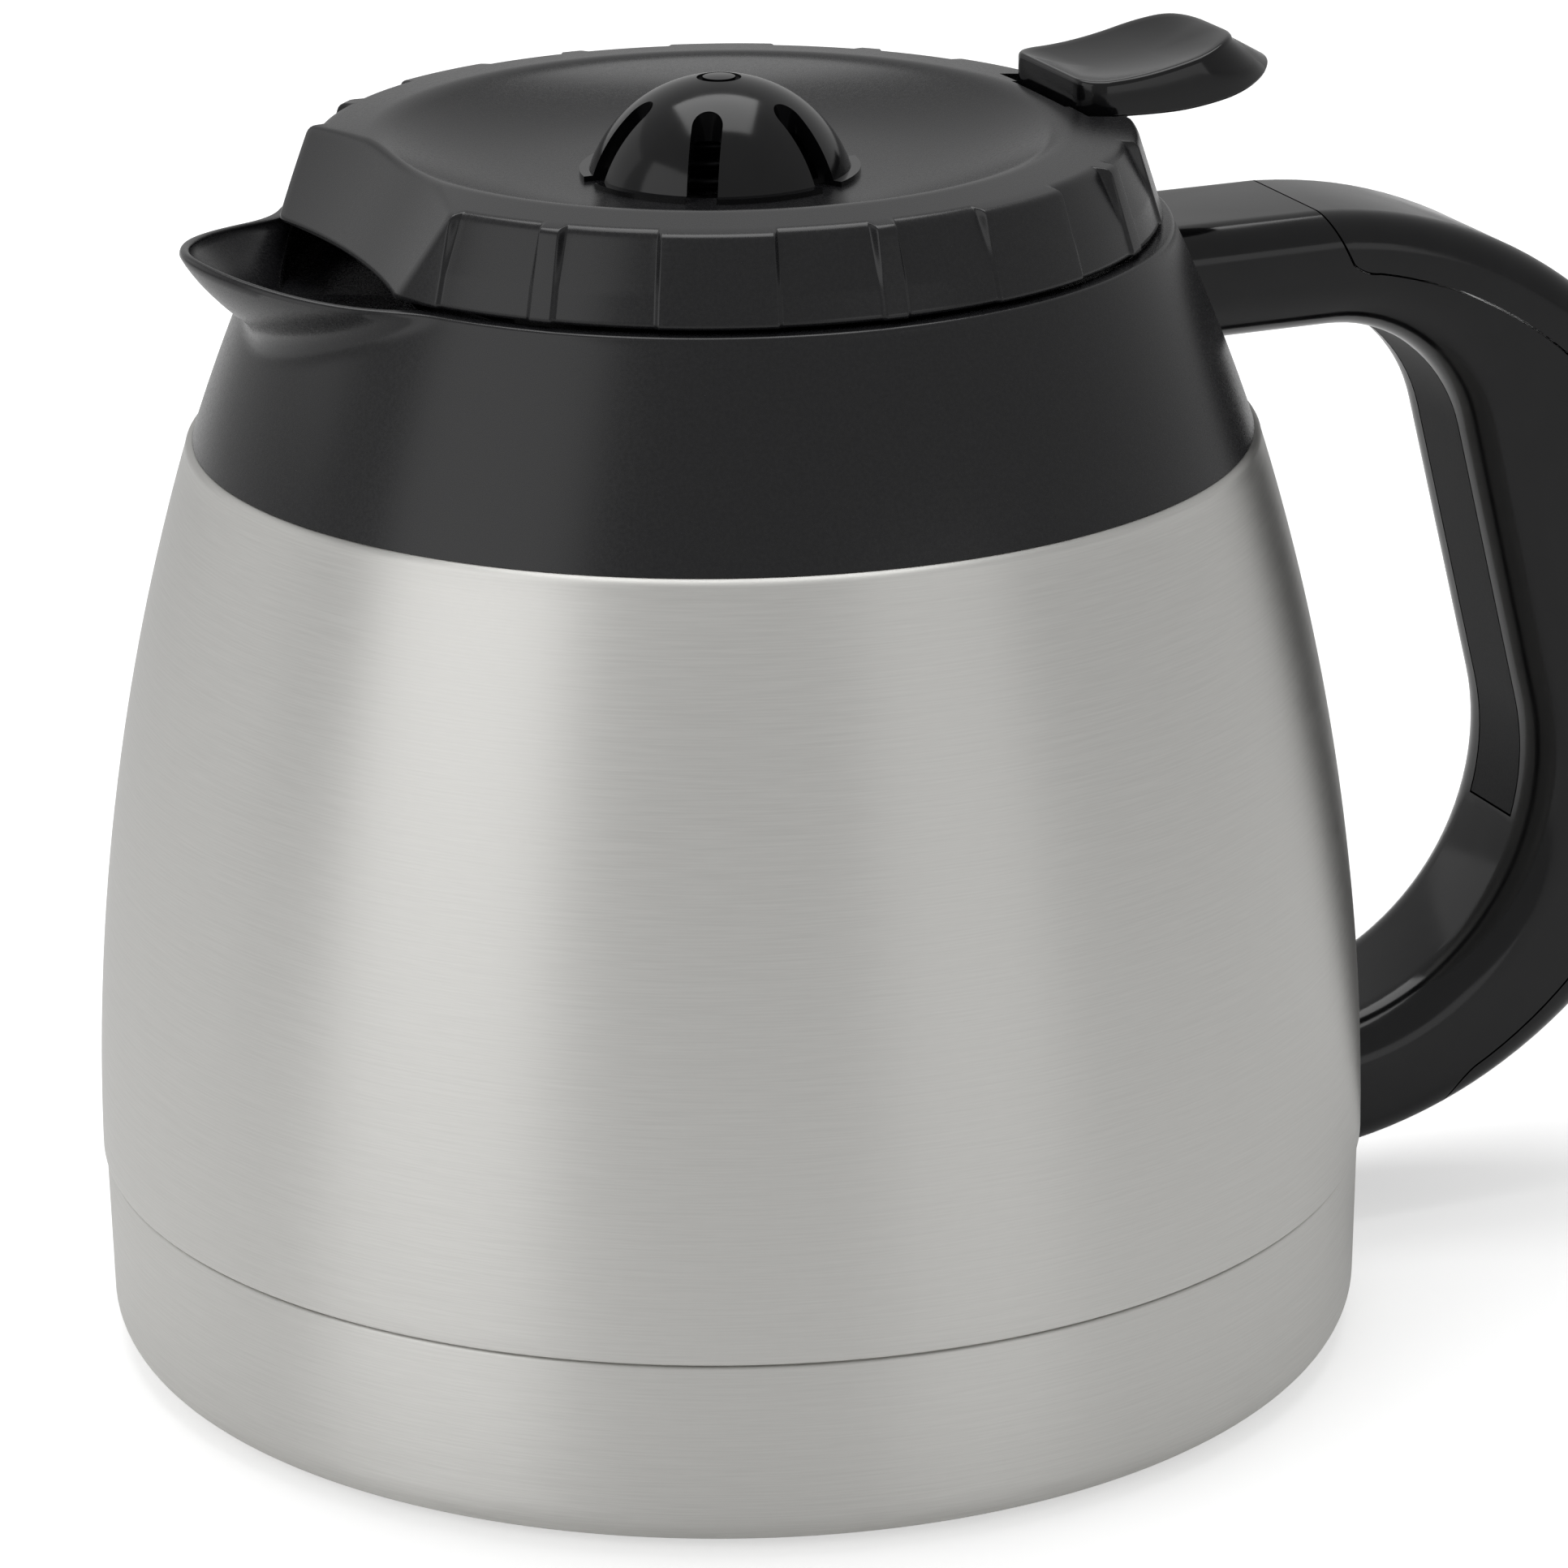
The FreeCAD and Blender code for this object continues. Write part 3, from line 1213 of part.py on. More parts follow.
coil = doc.addObject("Part::Helix", "spring_line")
bind(coil, "Radius", "spring_radius")
bind(coil, "Height", "spring_seat - %s - spring_wire" % flange_top)
bind(coil, "Pitch", "(spring_seat - %s - spring_wire) / spring_turns" % flange_top)
place(coil, ("0", "0", flange_top + " + spring_wire / 2"))
wire = doc.addObject("Part::Circle", "spring_wire_circle")
bind(wire, "Radius", "spring_wire / 2")
place(wire, ("spring_radius", "0", flange_top + " + spring_wire / 2"), Rotation(Vector(1, 0, 0), 90))
spring = doc.addObject("Part::Sweep", "spring_coil")
spring.Sections = [wire]
spring.Spine = (coil, ["Edge1"])
spring.Solid = True
spring.Frenet = True
piece(spring, "valve_spring")

# Thumb lever: paddle over the rear of the lid, lug on the pin, arm and fork below the valve flange

dip_chord = "sqrt(paddle_crest_run ^ 2 + paddle_crest_rise ^ 2)"
dip_slope = "(atan(paddle_crest_rise / paddle_crest_run) + asin(%s / (2 * paddle_dip)))" % dip_chord
crown_chord = "sqrt(paddle_brow_run ^ 2 + paddle_brow_drop ^ 2)"
crown_turn = "(%s + atan(paddle_brow_drop / paddle_brow_run))" % dip_slope
crown_round = "%s / (2 * sin(%s))" % (crown_chord, crown_turn)

paddle = new_body("paddle")
paddle_outline = outline(paddle, "paddle_outline", "XZ_Plane", [
    ("paddle_root_x", "paddle_root_z", "paddle_dip"),
    ("paddle_crest_x", "paddle_crest_z", "-(%s)" % crown_round),
    ("paddle_brow_x", "paddle_brow_z"),
    ("paddle_tip_x", "paddle_tip_z", "-paddle_keel"),
    ("paddle_belly_x", "paddle_belly_z"),
    ("paddle_root_x", "paddle_belly_z"),
])
paddle_pad = padded(paddle, "paddle_pad", paddle_outline, "2 * paddle_half_width")

# The nose is a round tip between two wide side arcs, cut square to a plane that leans back
tip_centre = "(nose_length - nose_round)"
side_part = "(paddle_half_width - nose_round)"
nose_side_round = "((%s ^ 2 + paddle_half_width ^ 2 - nose_round ^ 2) / (2 * %s))" % (tip_centre, side_part)
nose_share = "(%s / (%s - nose_round))" % (nose_side_round, nose_side_round)
nose_turn_x = "(%s * %s)" % (nose_share, tip_centre)
nose_turn_y = "((%s - 1) * (%s - paddle_half_width))" % (nose_share, nose_side_round)
trim_half_width = "paddle_half_width + overcut"
trim_end = "nose_length + 10 * overcut"
nose_turn = -size("nose_lean_angle")
trim = new_sketch(paddle, "paddle_trim_outline", "XY_Plane", turn=nose_turn, lift="nose_start_z")
bind(trim, "AttachmentOffset.Base.x", "nose_start_x")
bind(trim, "AttachmentOffset.Rotation.Angle", "nose_lean_angle")
draw_outline(trim, [
    ("0", "-paddle_half_width", nose_side_round),
    (nose_turn_x, "-%s" % nose_turn_y, "nose_round"),
    (nose_turn_x, nose_turn_y, nose_side_round),
    ("0", "paddle_half_width"),
    ("0", trim_half_width),
    (trim_end, trim_half_width),
    (trim_end, "-(%s)" % trim_half_width),
    ("0", "-(%s)" % trim_half_width),
])
paddle_trim = pocketed(paddle, "paddle_trim", trim)


def paddle_upper(edge):
    """Curved top edges of the paddle, along both sides and round the nose."""
    high = all(v.Z > size("paddle_root_z") - 1 for v in edge.Vertexes)
    return high and edge.Curve.TypeId != "Part::GeomLine"


rounded(paddle, "paddle_round", paddle_trim, "paddle_edge", paddle_upper)

lug = block("lever_lug", ("lug_inner_x", "-lug_half_width", "lug_foot"),
            ("lug_outer_x", "lug_half_width", "paddle_belly_z + overlap"))
leg = block("lever_leg", ("arm_back_x", "-arm_half_width", "arm_low"),
            ("arm_back_x + arm_leg", "arm_half_width", "lug_foot + arm_leg"))
leg_top = block("lever_leg_top", ("arm_back_x", "-arm_half_width", "lug_foot"),
                ("lug_inner_x + overlap", "arm_half_width", "lug_foot + arm_leg"))
arm = block("lever_arm", ("yoke_x", "-arm_half_width", "arm_low"),
            ("arm_back_x + arm_leg", "arm_half_width", "arm_low + arm_thickness"))
yoke = block("lever_yoke", ("yoke_x - overlap", "-tine_outer", "arm_low"),
             ("yoke_x - overlap + yoke_depth", "tine_outer", "tine_top"))
lever_parts = [paddle, lug, leg, leg_top, arm, yoke]
for low, high in (("tine_inner", "tine_outer"), ("-tine_outer", "-tine_inner")):
    lever_parts.append(block("lever_tine", ("-tine_end_x", low, "arm_low"), ("yoke_x", high, "tine_top")))
    lever_parts.append(rod("lever_nub", ("0", low, "nub_top - nub_radius"), "nub_radius",
                           "tine_outer - tine_inner", ALONG_Y))
lever = cut("lever_piece", joined("lever_solid", lever_parts),
            [rod("lever_bore", ("pivot_x", "-ear_outer", "pivot_z"), "pin_radius + pin_fit", "2 * ear_outer",
                 ALONG_Y)])
piece(lever, "pour_lever")
pin_start = ("pivot_x", "-ear_outer", "pivot_z")
piece(rod("pivot_pin", pin_start, "pin_radius", "2 * ear_outer", ALONG_Y), "lever_pin")

# Check everything, then write one file for each piece

doc.recompute()
for thing in doc.Objects:
    if "Invalid" in thing.State or "Error" in thing.State:
        raise RuntimeError("%s could not be made" % thing.Label)
os.makedirs("parts", exist_ok=True)
for thing in pieces:
    if thing.Shape.isNull() or not thing.Shape.isValid():
        raise RuntimeError("%s has no sound shape" % thing.Label)
    thing.Shape.exportStep("parts/%s.step" % thing.Label)
    box = thing.Shape.BoundBox
    print("%-20s %9.1f mm3  solids %d  x %.1f %.1f  y %.1f %.1f  z %.1f %.1f" % (
        thing.Label, thing.Shape.Volume, len(thing.Shape.Solids),
        box.XMin, box.XMax, box.YMin, box.YMax, box.ZMin, box.ZMax))
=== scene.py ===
# %% [markdown]
# # An insulated coffee jug
# This lesson dresses a finished CAD model of a steel coffee jug with a black lid, spout and handle. The CAD
# model comes in first. It stays where it is, and every finished piece is fitted to it. Lengths are metres,
# the jug stands on z = 0, the spout points to -X and the handle to +X.

# %% Load the CAD model
import json
import math

import bmesh
import bpy
from mathutils import Matrix, Vector


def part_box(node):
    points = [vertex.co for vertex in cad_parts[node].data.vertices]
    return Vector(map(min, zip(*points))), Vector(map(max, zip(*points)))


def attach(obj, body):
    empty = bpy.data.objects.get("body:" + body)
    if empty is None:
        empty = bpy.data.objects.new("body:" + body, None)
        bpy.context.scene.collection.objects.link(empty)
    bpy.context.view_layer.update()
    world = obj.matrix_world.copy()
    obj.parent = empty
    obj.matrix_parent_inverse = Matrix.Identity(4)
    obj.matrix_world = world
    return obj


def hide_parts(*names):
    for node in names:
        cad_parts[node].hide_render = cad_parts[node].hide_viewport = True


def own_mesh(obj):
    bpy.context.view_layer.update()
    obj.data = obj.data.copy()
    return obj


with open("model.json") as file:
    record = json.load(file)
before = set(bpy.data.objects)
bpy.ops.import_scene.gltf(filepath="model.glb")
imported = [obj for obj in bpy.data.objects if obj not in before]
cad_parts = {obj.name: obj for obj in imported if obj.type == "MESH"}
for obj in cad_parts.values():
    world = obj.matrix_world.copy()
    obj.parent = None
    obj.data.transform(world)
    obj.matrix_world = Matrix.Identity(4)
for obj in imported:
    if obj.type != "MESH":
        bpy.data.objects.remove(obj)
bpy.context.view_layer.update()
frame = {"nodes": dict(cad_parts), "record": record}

print("nodes", sorted(frame["nodes"]))

# %% [markdown]
# ## Finishes
# A finish is a small node tree. It could be a picture wrapped round the piece, but a picture blurs close
# up. A noise stays sharp, and on Object coordinates it stays on the piece when the piece moves. Only what
# varies over the surface is linked. A number that is the same all over sits on the shader's own socket.

# %% Helpers: a new finish, its noise, and what the noise drives
NOISE_LOW = 0.3
NOISE_HIGH = 0.7


def new_finish(name, metallic=0.0, roughness=0.5):
    finish = bpy.data.materials.new(name)
    finish.use_nodes = True
    shader = finish.node_tree.nodes["Principled BSDF"]
    shader.inputs["Metallic"].default_value = metallic
    shader.inputs["Roughness"].default_value = roughness
    return finish, shader


def pattern(finish, scale, stretch=(1.0, 1.0, 1.0), detail=3.0):
    """Noise on Object coordinates, stretched by three factors."""
    nodes = finish.node_tree.nodes
    links = finish.node_tree.links
    place = nodes.new("ShaderNodeTexCoord")
    mapping = nodes.new("ShaderNodeMapping")
    mapping.inputs["Scale"].default_value = stretch
    noise = nodes.new("ShaderNodeTexNoise")
    noise.inputs["Scale"].default_value = scale
    noise.inputs["Detail"].default_value = detail
    links.new(place.outputs["Object"], mapping.inputs["Vector"])
    links.new(mapping.outputs["Vector"], noise.inputs["Vector"])
    return noise


def spread(finish, noise, socket, low, high):
    """Turns the middle of a noise into a number between low and high on a shader socket."""
    reach = finish.node_tree.nodes.new("ShaderNodeMapRange")
    reach.inputs["From Min"].default_value = NOISE_LOW
    reach.inputs["From Max"].default_value = NOISE_HIGH
    reach.inputs["To Min"].default_value = low
    reach.inputs["To Max"].default_value = high
    finish.node_tree.links.new(noise.outputs["Fac"], reach.inputs["Value"])
    finish.node_tree.links.new(reach.outputs["Result"], socket)


def tint(finish, noise, shader, dark, light):
    """Lets a noise run between two colours on the base colour."""
    ramp = finish.node_tree.nodes.new("ShaderNodeValToRGB")
    for stop, position, colour in zip(ramp.color_ramp.elements, (NOISE_LOW, NOISE_HIGH), (dark, light)):
        stop.position = position
        stop.color = (*colour, 1.0)
    finish.node_tree.links.new(noise.outputs["Fac"], ramp.inputs["Fac"])
    finish.node_tree.links.new(ramp.outputs["Color"], shader.inputs["Base Color"])


def relief(finish, noise, shader, strength, distance):
    """Very shallow relief from a noise."""
    bump = finish.node_tree.nodes.new("ShaderNodeBump")
    bump.inputs["Strength"].default_value = strength
    bump.inputs["Distance"].default_value = distance
    finish.node_tree.links.new(noise.outputs["Fac"], bump.inputs["Height"])
    finish.node_tree.links.new(bump.outputs["Normal"], shader.inputs["Normal"])


print("finish helpers ready")

# %% [markdown]
# ## Brushed steel
# The shell and the cup are brushed round the axis. The scratches are fine, short and level. They could be
# cut as relief, but relief that fine only flickers. A noise that changes slowly along X and Y and quickly
# along Z draws them instead, because the surface is nearly upright. The scratches also spread each
# reflection up and down, so the shader is anisotropic with a tangent round Z.

# %% Brushed steel finish
SCRATCH_STRETCH = (130.0, 130.0, 5200.0)
brushed_steel, shader = new_finish("brushed_steel", metallic=1.0)
scratches = pattern(brushed_steel, 1.0, SCRATCH_STRETCH, detail=2.0)
tint(brushed_steel, scratches, shader, (0.670, 0.664, 0.640), (0.730, 0.724, 0.700))
spread(brushed_steel, scratches, shader.inputs["Roughness"], 0.43, 0.49)
shader.inputs["Anisotropic"].default_value = 0.85
shader.inputs["Anisotropic Rotation"].default_value = 0.25
around = brushed_steel.node_tree.nodes.new("ShaderNodeTangent")
around.direction_type = "RADIAL"
around.axis = "Z"
brushed_steel.node_tree.links.new(around.outputs["Tangent"], shader.inputs["Tangent"])
print("made", brushed_steel.name)

# %% [markdown]
# ## Black plastics
# The collar and the lid are satin. The dome, the lever and the handle are polished, and the grip strip is
# soft. All are nearly black, so one black could serve for all of them. But what is seen is mostly the light
# that they reflect, and only different gloss tells them apart, so there are three blacks.

# %% Satin, polished and soft black
satin_black, shader = new_finish("satin_black")
skin = pattern(satin_black, 2600.0, detail=2.0)
tint(satin_black, skin, shader, (0.006, 0.006, 0.007), (0.010, 0.010, 0.011))
spread(satin_black, skin, shader.inputs["Roughness"], 0.23, 0.29)
shader.inputs["Specular IOR Level"].default_value = 0.42

gloss_black, shader = new_finish("gloss_black")
haze = pattern(gloss_black, 220.0)
tint(gloss_black, haze, shader, (0.003, 0.003, 0.0035), (0.005, 0.005, 0.0055))
spread(gloss_black, haze, shader.inputs["Roughness"], 0.11, 0.16)
shader.inputs["Specular IOR Level"].default_value = 0.34

soft_black, shader = new_finish("soft_black", roughness=0.55)
grain = pattern(soft_black, 3400.0, detail=2.0)
tint(soft_black, grain, shader, (0.006, 0.006, 0.007), (0.011, 0.011, 0.012))
relief(soft_black, grain, shader, 0.25, 0.00003)
shader.inputs["Specular IOR Level"].default_value = 0.18
print("made", satin_black.name, gloss_black.name, soft_black.name)

# %% [markdown]
# ## Hidden metal, rubber and silicone
# These show when the lid is off or the jug is turned over: the spun liner, plain screws, the foot pad and
# the seals. Plain grey would do from afar. Each gets its own noise, so that it still looks like its
# material from close by.

# %% Liner, bare metal and spring
LINER_STRETCH = (60.0, 60.0, 2200.0)
liner_steel, shader = new_finish("liner_steel", metallic=1.0)
spun = pattern(liner_steel, 1.0, LINER_STRETCH, detail=2.0)
tint(liner_steel, spun, shader, (0.56, 0.56, 0.55), (0.68, 0.68, 0.67))
spread(liner_steel, spun, shader.inputs["Roughness"], 0.24, 0.34)

bare_metal, shader = new_finish("bare_metal", metallic=1.0)
cloud = pattern(bare_metal, 500.0)
tint(bare_metal, cloud, shader, (0.44, 0.44, 0.44), (0.56, 0.56, 0.55))
spread(bare_metal, cloud, shader.inputs["Roughness"], 0.28, 0.42)

# Painted shade: the spring's metal is coloured near black to stand for the shade inside the dome around it.
spring_painted_shade, shader = new_finish("spring_painted_shade", metallic=1.0)
scale = pattern(spring_painted_shade, 700.0)
tint(spring_painted_shade, scale, shader, (0.018, 0.018, 0.019), (0.040, 0.040, 0.042))
spread(spring_painted_shade, scale, shader.inputs["Roughness"], 0.42, 0.58)
print("made", liner_steel.name, bare_metal.name, spring_painted_shade.name)

# %% Rubber and silicone
pad_rubber, shader = new_finish("pad_rubber", roughness=0.75)
dust = pattern(pad_rubber, 900.0)
tint(pad_rubber, dust, shader, (0.016, 0.016, 0.016), (0.028, 0.028, 0.028))
relief(pad_rubber, dust, shader, 0.2, 0.00005)

silicone, shader = new_finish("silicone", roughness=0.45)
milk = pattern(silicone, 300.0)
tint(silicone, milk, shader, (0.38, 0.38, 0.37), (0.46, 0.46, 0.45))
print("made", pad_rubber.name, silicone.name)

# %% [markdown]
# ## Which finish goes where
# Every piece of the jug has one material, and the record calls that its slot. The finish could be set piece
# by piece further down. Two tables keep it in one place, where it is easy to change.

# %% Finish of each slot, slot of each node, body of each node
FINISH = {
    "steel": brushed_steel,
    "steel_inner": liner_steel,
    "bare_metal": bare_metal,
    "satin_black": satin_black,
    "gloss_black": gloss_black,
    "soft_black": soft_black,
    "pad_rubber": pad_rubber,
    "silicone": silicone,
}
SLOT = {
    "base_pad": "pad_rubber", "base_cup": "steel", "outer_shell": "steel", "inner_flask": "steel_inner",
    "flask_base": "steel_inner", "flask_heel": "steel_inner", "flask_neck": "steel_inner",
    "getter_cup": "bare_metal", "evacuation_seal": "bare_metal", "collar": "satin_black",
    "neck_seal": "silicone", "handle_body": "gloss_black", "handle_cover": "gloss_black",
    "grip_pad": "soft_black", "upper_handle_screws": "bare_metal", "handle_bracket": "bare_metal",
    "lower_handle_screw": "bare_metal", "lid_gasket": "silicone", "lid_top": "satin_black",
    "brew_dome": "gloss_black", "lid_plug": "satin_black", "lid_screws": "bare_metal",
    "lever_pin": "bare_metal", "pour_lever": "gloss_black", "pour_valve": "satin_black",
    "valve_seal": "silicone", "valve_spring": "bare_metal",
}
BODY = {}
for body, nodes in frame["record"]["behaviour"]["bodies"].items():
    for node in nodes:
        BODY[node] = body

# %% [markdown]
# ## Smooth copies of the CAD pieces
# A CAD node arrives as loose triangles, so light would break on every one of them. Each piece could be
# modelled anew, but most of them already have the right shape. So a copy is merged, its faces are shaded
# smoothly, and only edges that really turn stay sharp. The copy then stands for the node and rides on the
# same body.

# %% Helper: merged, smooth copy of a node
CAD_CREASE = math.radians(28.0)


def smooth_copy(node):
    made = bmesh.new()
    made.from_mesh(frame["nodes"][node].data)
    bmesh.ops.remove_doubles(made, verts=made.verts, dist=2e-6)
    bmesh.ops.dissolve_degenerate(made, edges=made.edges, dist=1e-6)
    made.verts.index_update()
    points = [vert.co.copy() for vert in made.verts]
    faces = [[vert.index for vert in face.verts] for face in made.faces]
    made.free()
    # A mesh from bare points and faces brings no stored normals along.
    mesh = bpy.data.meshes.new(node + "_skin")
    mesh.from_pydata(points, [], faces)
    mesh.update()
    return finished(mesh, CAD_CREASE)


def finished(mesh, crease):
    """Smooth shading with sharp edges above an angle, and an object for the mesh."""
    mesh.shade_smooth()
    mesh.set_sharp_from_angle(angle=crease)
    piece = bpy.data.objects.new(mesh.name, mesh)
    bpy.context.collection.objects.link(piece)
    return piece


def dress(piece, node):
    """Gives a finished piece the finish of its node's slot and puts it in the node's place."""
    slot = SLOT[node]
    piece.data.materials.clear()
    piece.data.materials.append(FINISH[slot])
    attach(piece, BODY[node])
    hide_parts(node)
    return piece


print("copy helpers ready")

# %% Copy every piece that keeps its CAD shape
built_here = ("outer_shell", "base_cup", "collar", "lid_top", "pour_lever")
for node in SLOT:
    if node not in built_here:
        piece = dress(smooth_copy(node), node)
        print("%-22s %6d faces" % (piece.name, len(piece.data.polygons)))

# %% [markdown]
# ## Valve spring
# The spring sits between the rising valve and the dome. Through the slots of the dome it is only a dark
# shape. A new coil could be swept along a path for each position of the valve. The CAD coil already fits,
# so its copy is kept as it is, with a mesh of its own.

# %% Painted shade on the spring
spring = bpy.data.objects["valve_spring_skin"]
# Painted shade: the near-black colour replaces the spring's bare metal and stands for the shade inside the
# dome.
spring.data.materials[0] = spring_painted_shade
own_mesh(spring)

# %% [markdown]
# ## Turned steel
# The shell and the cup are spun from sheet, so both follow one rule: an outline turned round the jug's
# axis. The Spin tool could do it once. A Geometry Nodes tree does it for any outline, with the steps round
# the axis as an input, and gives the clean quads that brushed metal needs.

# %% Geometry Nodes tree that turns an outline
def turning_tree():
    tree = bpy.data.node_groups.new("turned_sheet", "GeometryNodeTree")
    face = tree.interface
    face.new_socket("Geometry", in_out="INPUT", socket_type="NodeSocketGeometry")
    steps = face.new_socket("Steps around", in_out="INPUT", socket_type="NodeSocketInt")
    core = face.new_socket("Core radius", in_out="INPUT", socket_type="NodeSocketFloat")
    skin = face.new_socket("Finish", in_out="INPUT", socket_type="NodeSocketMaterial")
    face.new_socket("Geometry", in_out="OUTPUT", socket_type="NodeSocketGeometry")
    nodes = tree.nodes
    way_in = nodes.new("NodeGroupInput")
    way_out = nodes.new("NodeGroupOutput")
    wire = nodes.new("GeometryNodeMeshToCurve")
    circle = nodes.new("GeometryNodeCurvePrimitiveCircle")
    sweep = nodes.new("GeometryNodeCurveToMesh")
    real = nodes.new("GeometryNodeRealizeInstances")
    paint = nodes.new("GeometryNodeSetMaterial")
    links = tree.links
    links.new(way_in.outputs["Geometry"], wire.inputs["Mesh"])
    links.new(way_in.outputs["Steps around"], circle.inputs["Resolution"])
    links.new(way_in.outputs["Core radius"], circle.inputs["Radius"])
    links.new(circle.outputs["Curve"], sweep.inputs["Curve"])
    links.new(wire.outputs["Curve"], sweep.inputs["Profile Curve"])
    links.new(sweep.outputs["Mesh"], real.inputs["Geometry"])
    links.new(real.outputs["Geometry"], paint.inputs["Geometry"])
    links.new(way_in.outputs["Finish"], paint.inputs["Material"])
    links.new(paint.outputs["Geometry"], way_out.inputs["Geometry"])
    return tree, {"steps": steps.identifier, "core": core.identifier, "finish": skin.identifier}


turned_sheet, turned_input = turning_tree()
print("tree", turned_sheet.name, turned_input)

# %% Helpers: arcs in an outline, and turning it
CORE = 0.001
STEPS_TURNED = 192
SHEET_CREASE = math.radians(32.0)


def arc(centre, radius, start, finish, steps):
    """Points of an arc in the (radius, height) plane, angles in degrees."""
    points = []
    for step in range(steps + 1):
        angle = math.radians(start + (finish - start) * step / steps)
        points.append((centre[0] + radius * math.cos(angle), centre[1] + radius * math.sin(angle)))
    return points


def closed_mesh(mesh, merge):
    """Merges doubled points and turns all faces outwards."""
    made = bmesh.new()
    made.from_mesh(mesh)
    bmesh.ops.remove_doubles(made, verts=made.verts, dist=merge)
    bmesh.ops.dissolve_degenerate(made, edges=made.edges, dist=merge / 10)
    bmesh.ops.recalc_face_normals(made, faces=made.faces)
    made.to_mesh(mesh)
    made.free()
    return mesh


def turn_outline(name, outline, finish):
    """Turns a closed outline of (radius, height) points with the Geometry Nodes tree."""
    wire = bpy.data.meshes.new(name + "_wire")
    count = len(outline)
    edges = [(i, (i + 1) % count) for i in range(count)]
    wire.from_pydata([(r - CORE, -z, 0.0) for r, z in outline], edges, [])
    holder = bpy.data.objects.new(name + "_wire", wire)
    bpy.context.collection.objects.link(holder)
    turning = holder.modifiers.new("turning", "NODES")
    turning.node_group = turned_sheet
    turning[turned_input["steps"]] = STEPS_TURNED
    turning[turned_input["core"]] = CORE
    turning[turned_input["finish"]] = finish
    depsgraph = bpy.context.evaluated_depsgraph_get()
    mesh = bpy.data.meshes.new_from_object(holder.evaluated_get(depsgraph))
    mesh.name = name
    holder.modifiers.remove(turning)
    bpy.data.objects.remove(holder)
    return finished(closed_mesh(mesh, 1e-7), SHEET_CREASE)


print("turning helpers ready")

# %% [markdown]
# ## The shell above the seam
# The outer steel wall bows in from the seam to the collar, folds over a shoulder and rises to the neck. Its
# bow could be a curve with handles. One arc that stands upright at the seam is enough, and its radius
# follows from the two end radii and the height. The lower edge is rolled, so the seam catches a thin line
# of light.

# %% Shell
SHEET = 0.0008
SEAM = 0.0228
SEAM_GAP = 0.0003
ROLL = 0.00035
SHELL_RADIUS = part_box("outer_shell")[1][0]
SHELL_TOP_RADIUS = 0.0618
SHELL_TOP = 0.1083
SHELL_EDGE = 0.001
SHOULDER_RADIUS = 0.0575
NECK_OUTER = 0.0395
NECK_FOOT = 0.1145
NECK_TOP = 0.1212
shell_foot = SEAM + SEAM_GAP
rise = SHELL_TOP - SHELL_EDGE - shell_foot
draw = SHELL_RADIUS - SHELL_TOP_RADIUS
bow = (rise ** 2 + draw ** 2) / (2 * draw)


def shell_side(inset, steps):
    """The bowed wall from its foot to the top edge, set in by a distance."""
    points = []
    for step in range(steps + 1):
        up = rise * step / steps
        points.append((SHELL_RADIUS - bow + math.sqrt(bow ** 2 - up ** 2) - inset, shell_foot + up))
    return points


edge_centre = (SHELL_TOP_RADIUS - SHELL_EDGE, SHELL_TOP - SHELL_EDGE)
neck_inner = NECK_OUTER - SHEET
shell_outline = arc((SHELL_RADIUS - ROLL, shell_foot + ROLL), ROLL, -90, 0, 4)
shell_outline += shell_side(0.0, 40)[1:]
shell_outline += arc(edge_centre, SHELL_EDGE, 10, 90, 6)
shell_outline += [(SHOULDER_RADIUS, SHELL_TOP), (NECK_OUTER, NECK_FOOT), (NECK_OUTER, NECK_TOP)]
shell_outline += [(neck_inner, NECK_TOP), (neck_inner, NECK_FOOT - SHEET)]
shell_outline += [(SHOULDER_RADIUS, SHELL_TOP - SHEET), (edge_centre[0], SHELL_TOP - SHEET)]
shell_outline += reversed(shell_side(SHEET, 20))
shell_skin = dress(turn_outline("outer_shell_skin", shell_outline, brushed_steel), "outer_shell")
print("shell", len(shell_skin.data.polygons), "faces, foot radius", round(SHELL_RADIUS, 5))

# %% [markdown]
# ## The cup below the seam
# The steel cup closes the jug from below. Its lip slips into the shell, and its floor is recessed for the
# foot pad. The shell could run down to the floor, with a scratched line for the seam. A cup of its own, a
# hair smaller than the shell, gives the seam a real shadow.

# %% Cup
CUP_STEP = 0.00035
FOOT_DRAFT = 0.0003
CUP_CORNER = 0.005
PAD_DROP = 0.0004
RECESS = 0.0583
RECESS_TOP = 0.0016
CENTRE = 0.002
LIP_PLAY = 0.00015
LIP_HEIGHT = 0.006
CUP_RADIUS = SHELL_RADIUS - CUP_STEP
corner_centre = (CUP_RADIUS - FOOT_DRAFT - CUP_CORNER, PAD_DROP + CUP_CORNER)
lip = SHELL_RADIUS - SHEET - LIP_PLAY
cup_outline = [(CENTRE, RECESS_TOP), (RECESS, RECESS_TOP), (RECESS, PAD_DROP)]
cup_outline += arc(corner_centre, CUP_CORNER, -90, 0, 14)
cup_outline += arc((CUP_RADIUS - ROLL, SEAM - ROLL), ROLL, 0, 90, 4)
cup_outline += [(lip, SEAM), (lip, SEAM + LIP_HEIGHT), (lip - SHEET, SEAM + LIP_HEIGHT)]
cup_outline += [(lip - SHEET, SEAM - SHEET), (CUP_RADIUS - 2 * SHEET, SEAM - 2 * SHEET)]
cup_outline += reversed(arc(corner_centre, CUP_CORNER - SHEET, -90, 0, 10))
cup_outline += [(RECESS + SHEET, PAD_DROP + SHEET), (RECESS + SHEET, RECESS_TOP + SHEET)]
cup_outline += [(CENTRE, RECESS_TOP + SHEET)]
cup_skin = dress(turn_outline("base_cup_skin", cup_outline, brushed_steel), "base_cup")
print("cup", len(cup_skin.data.polygons), "faces")

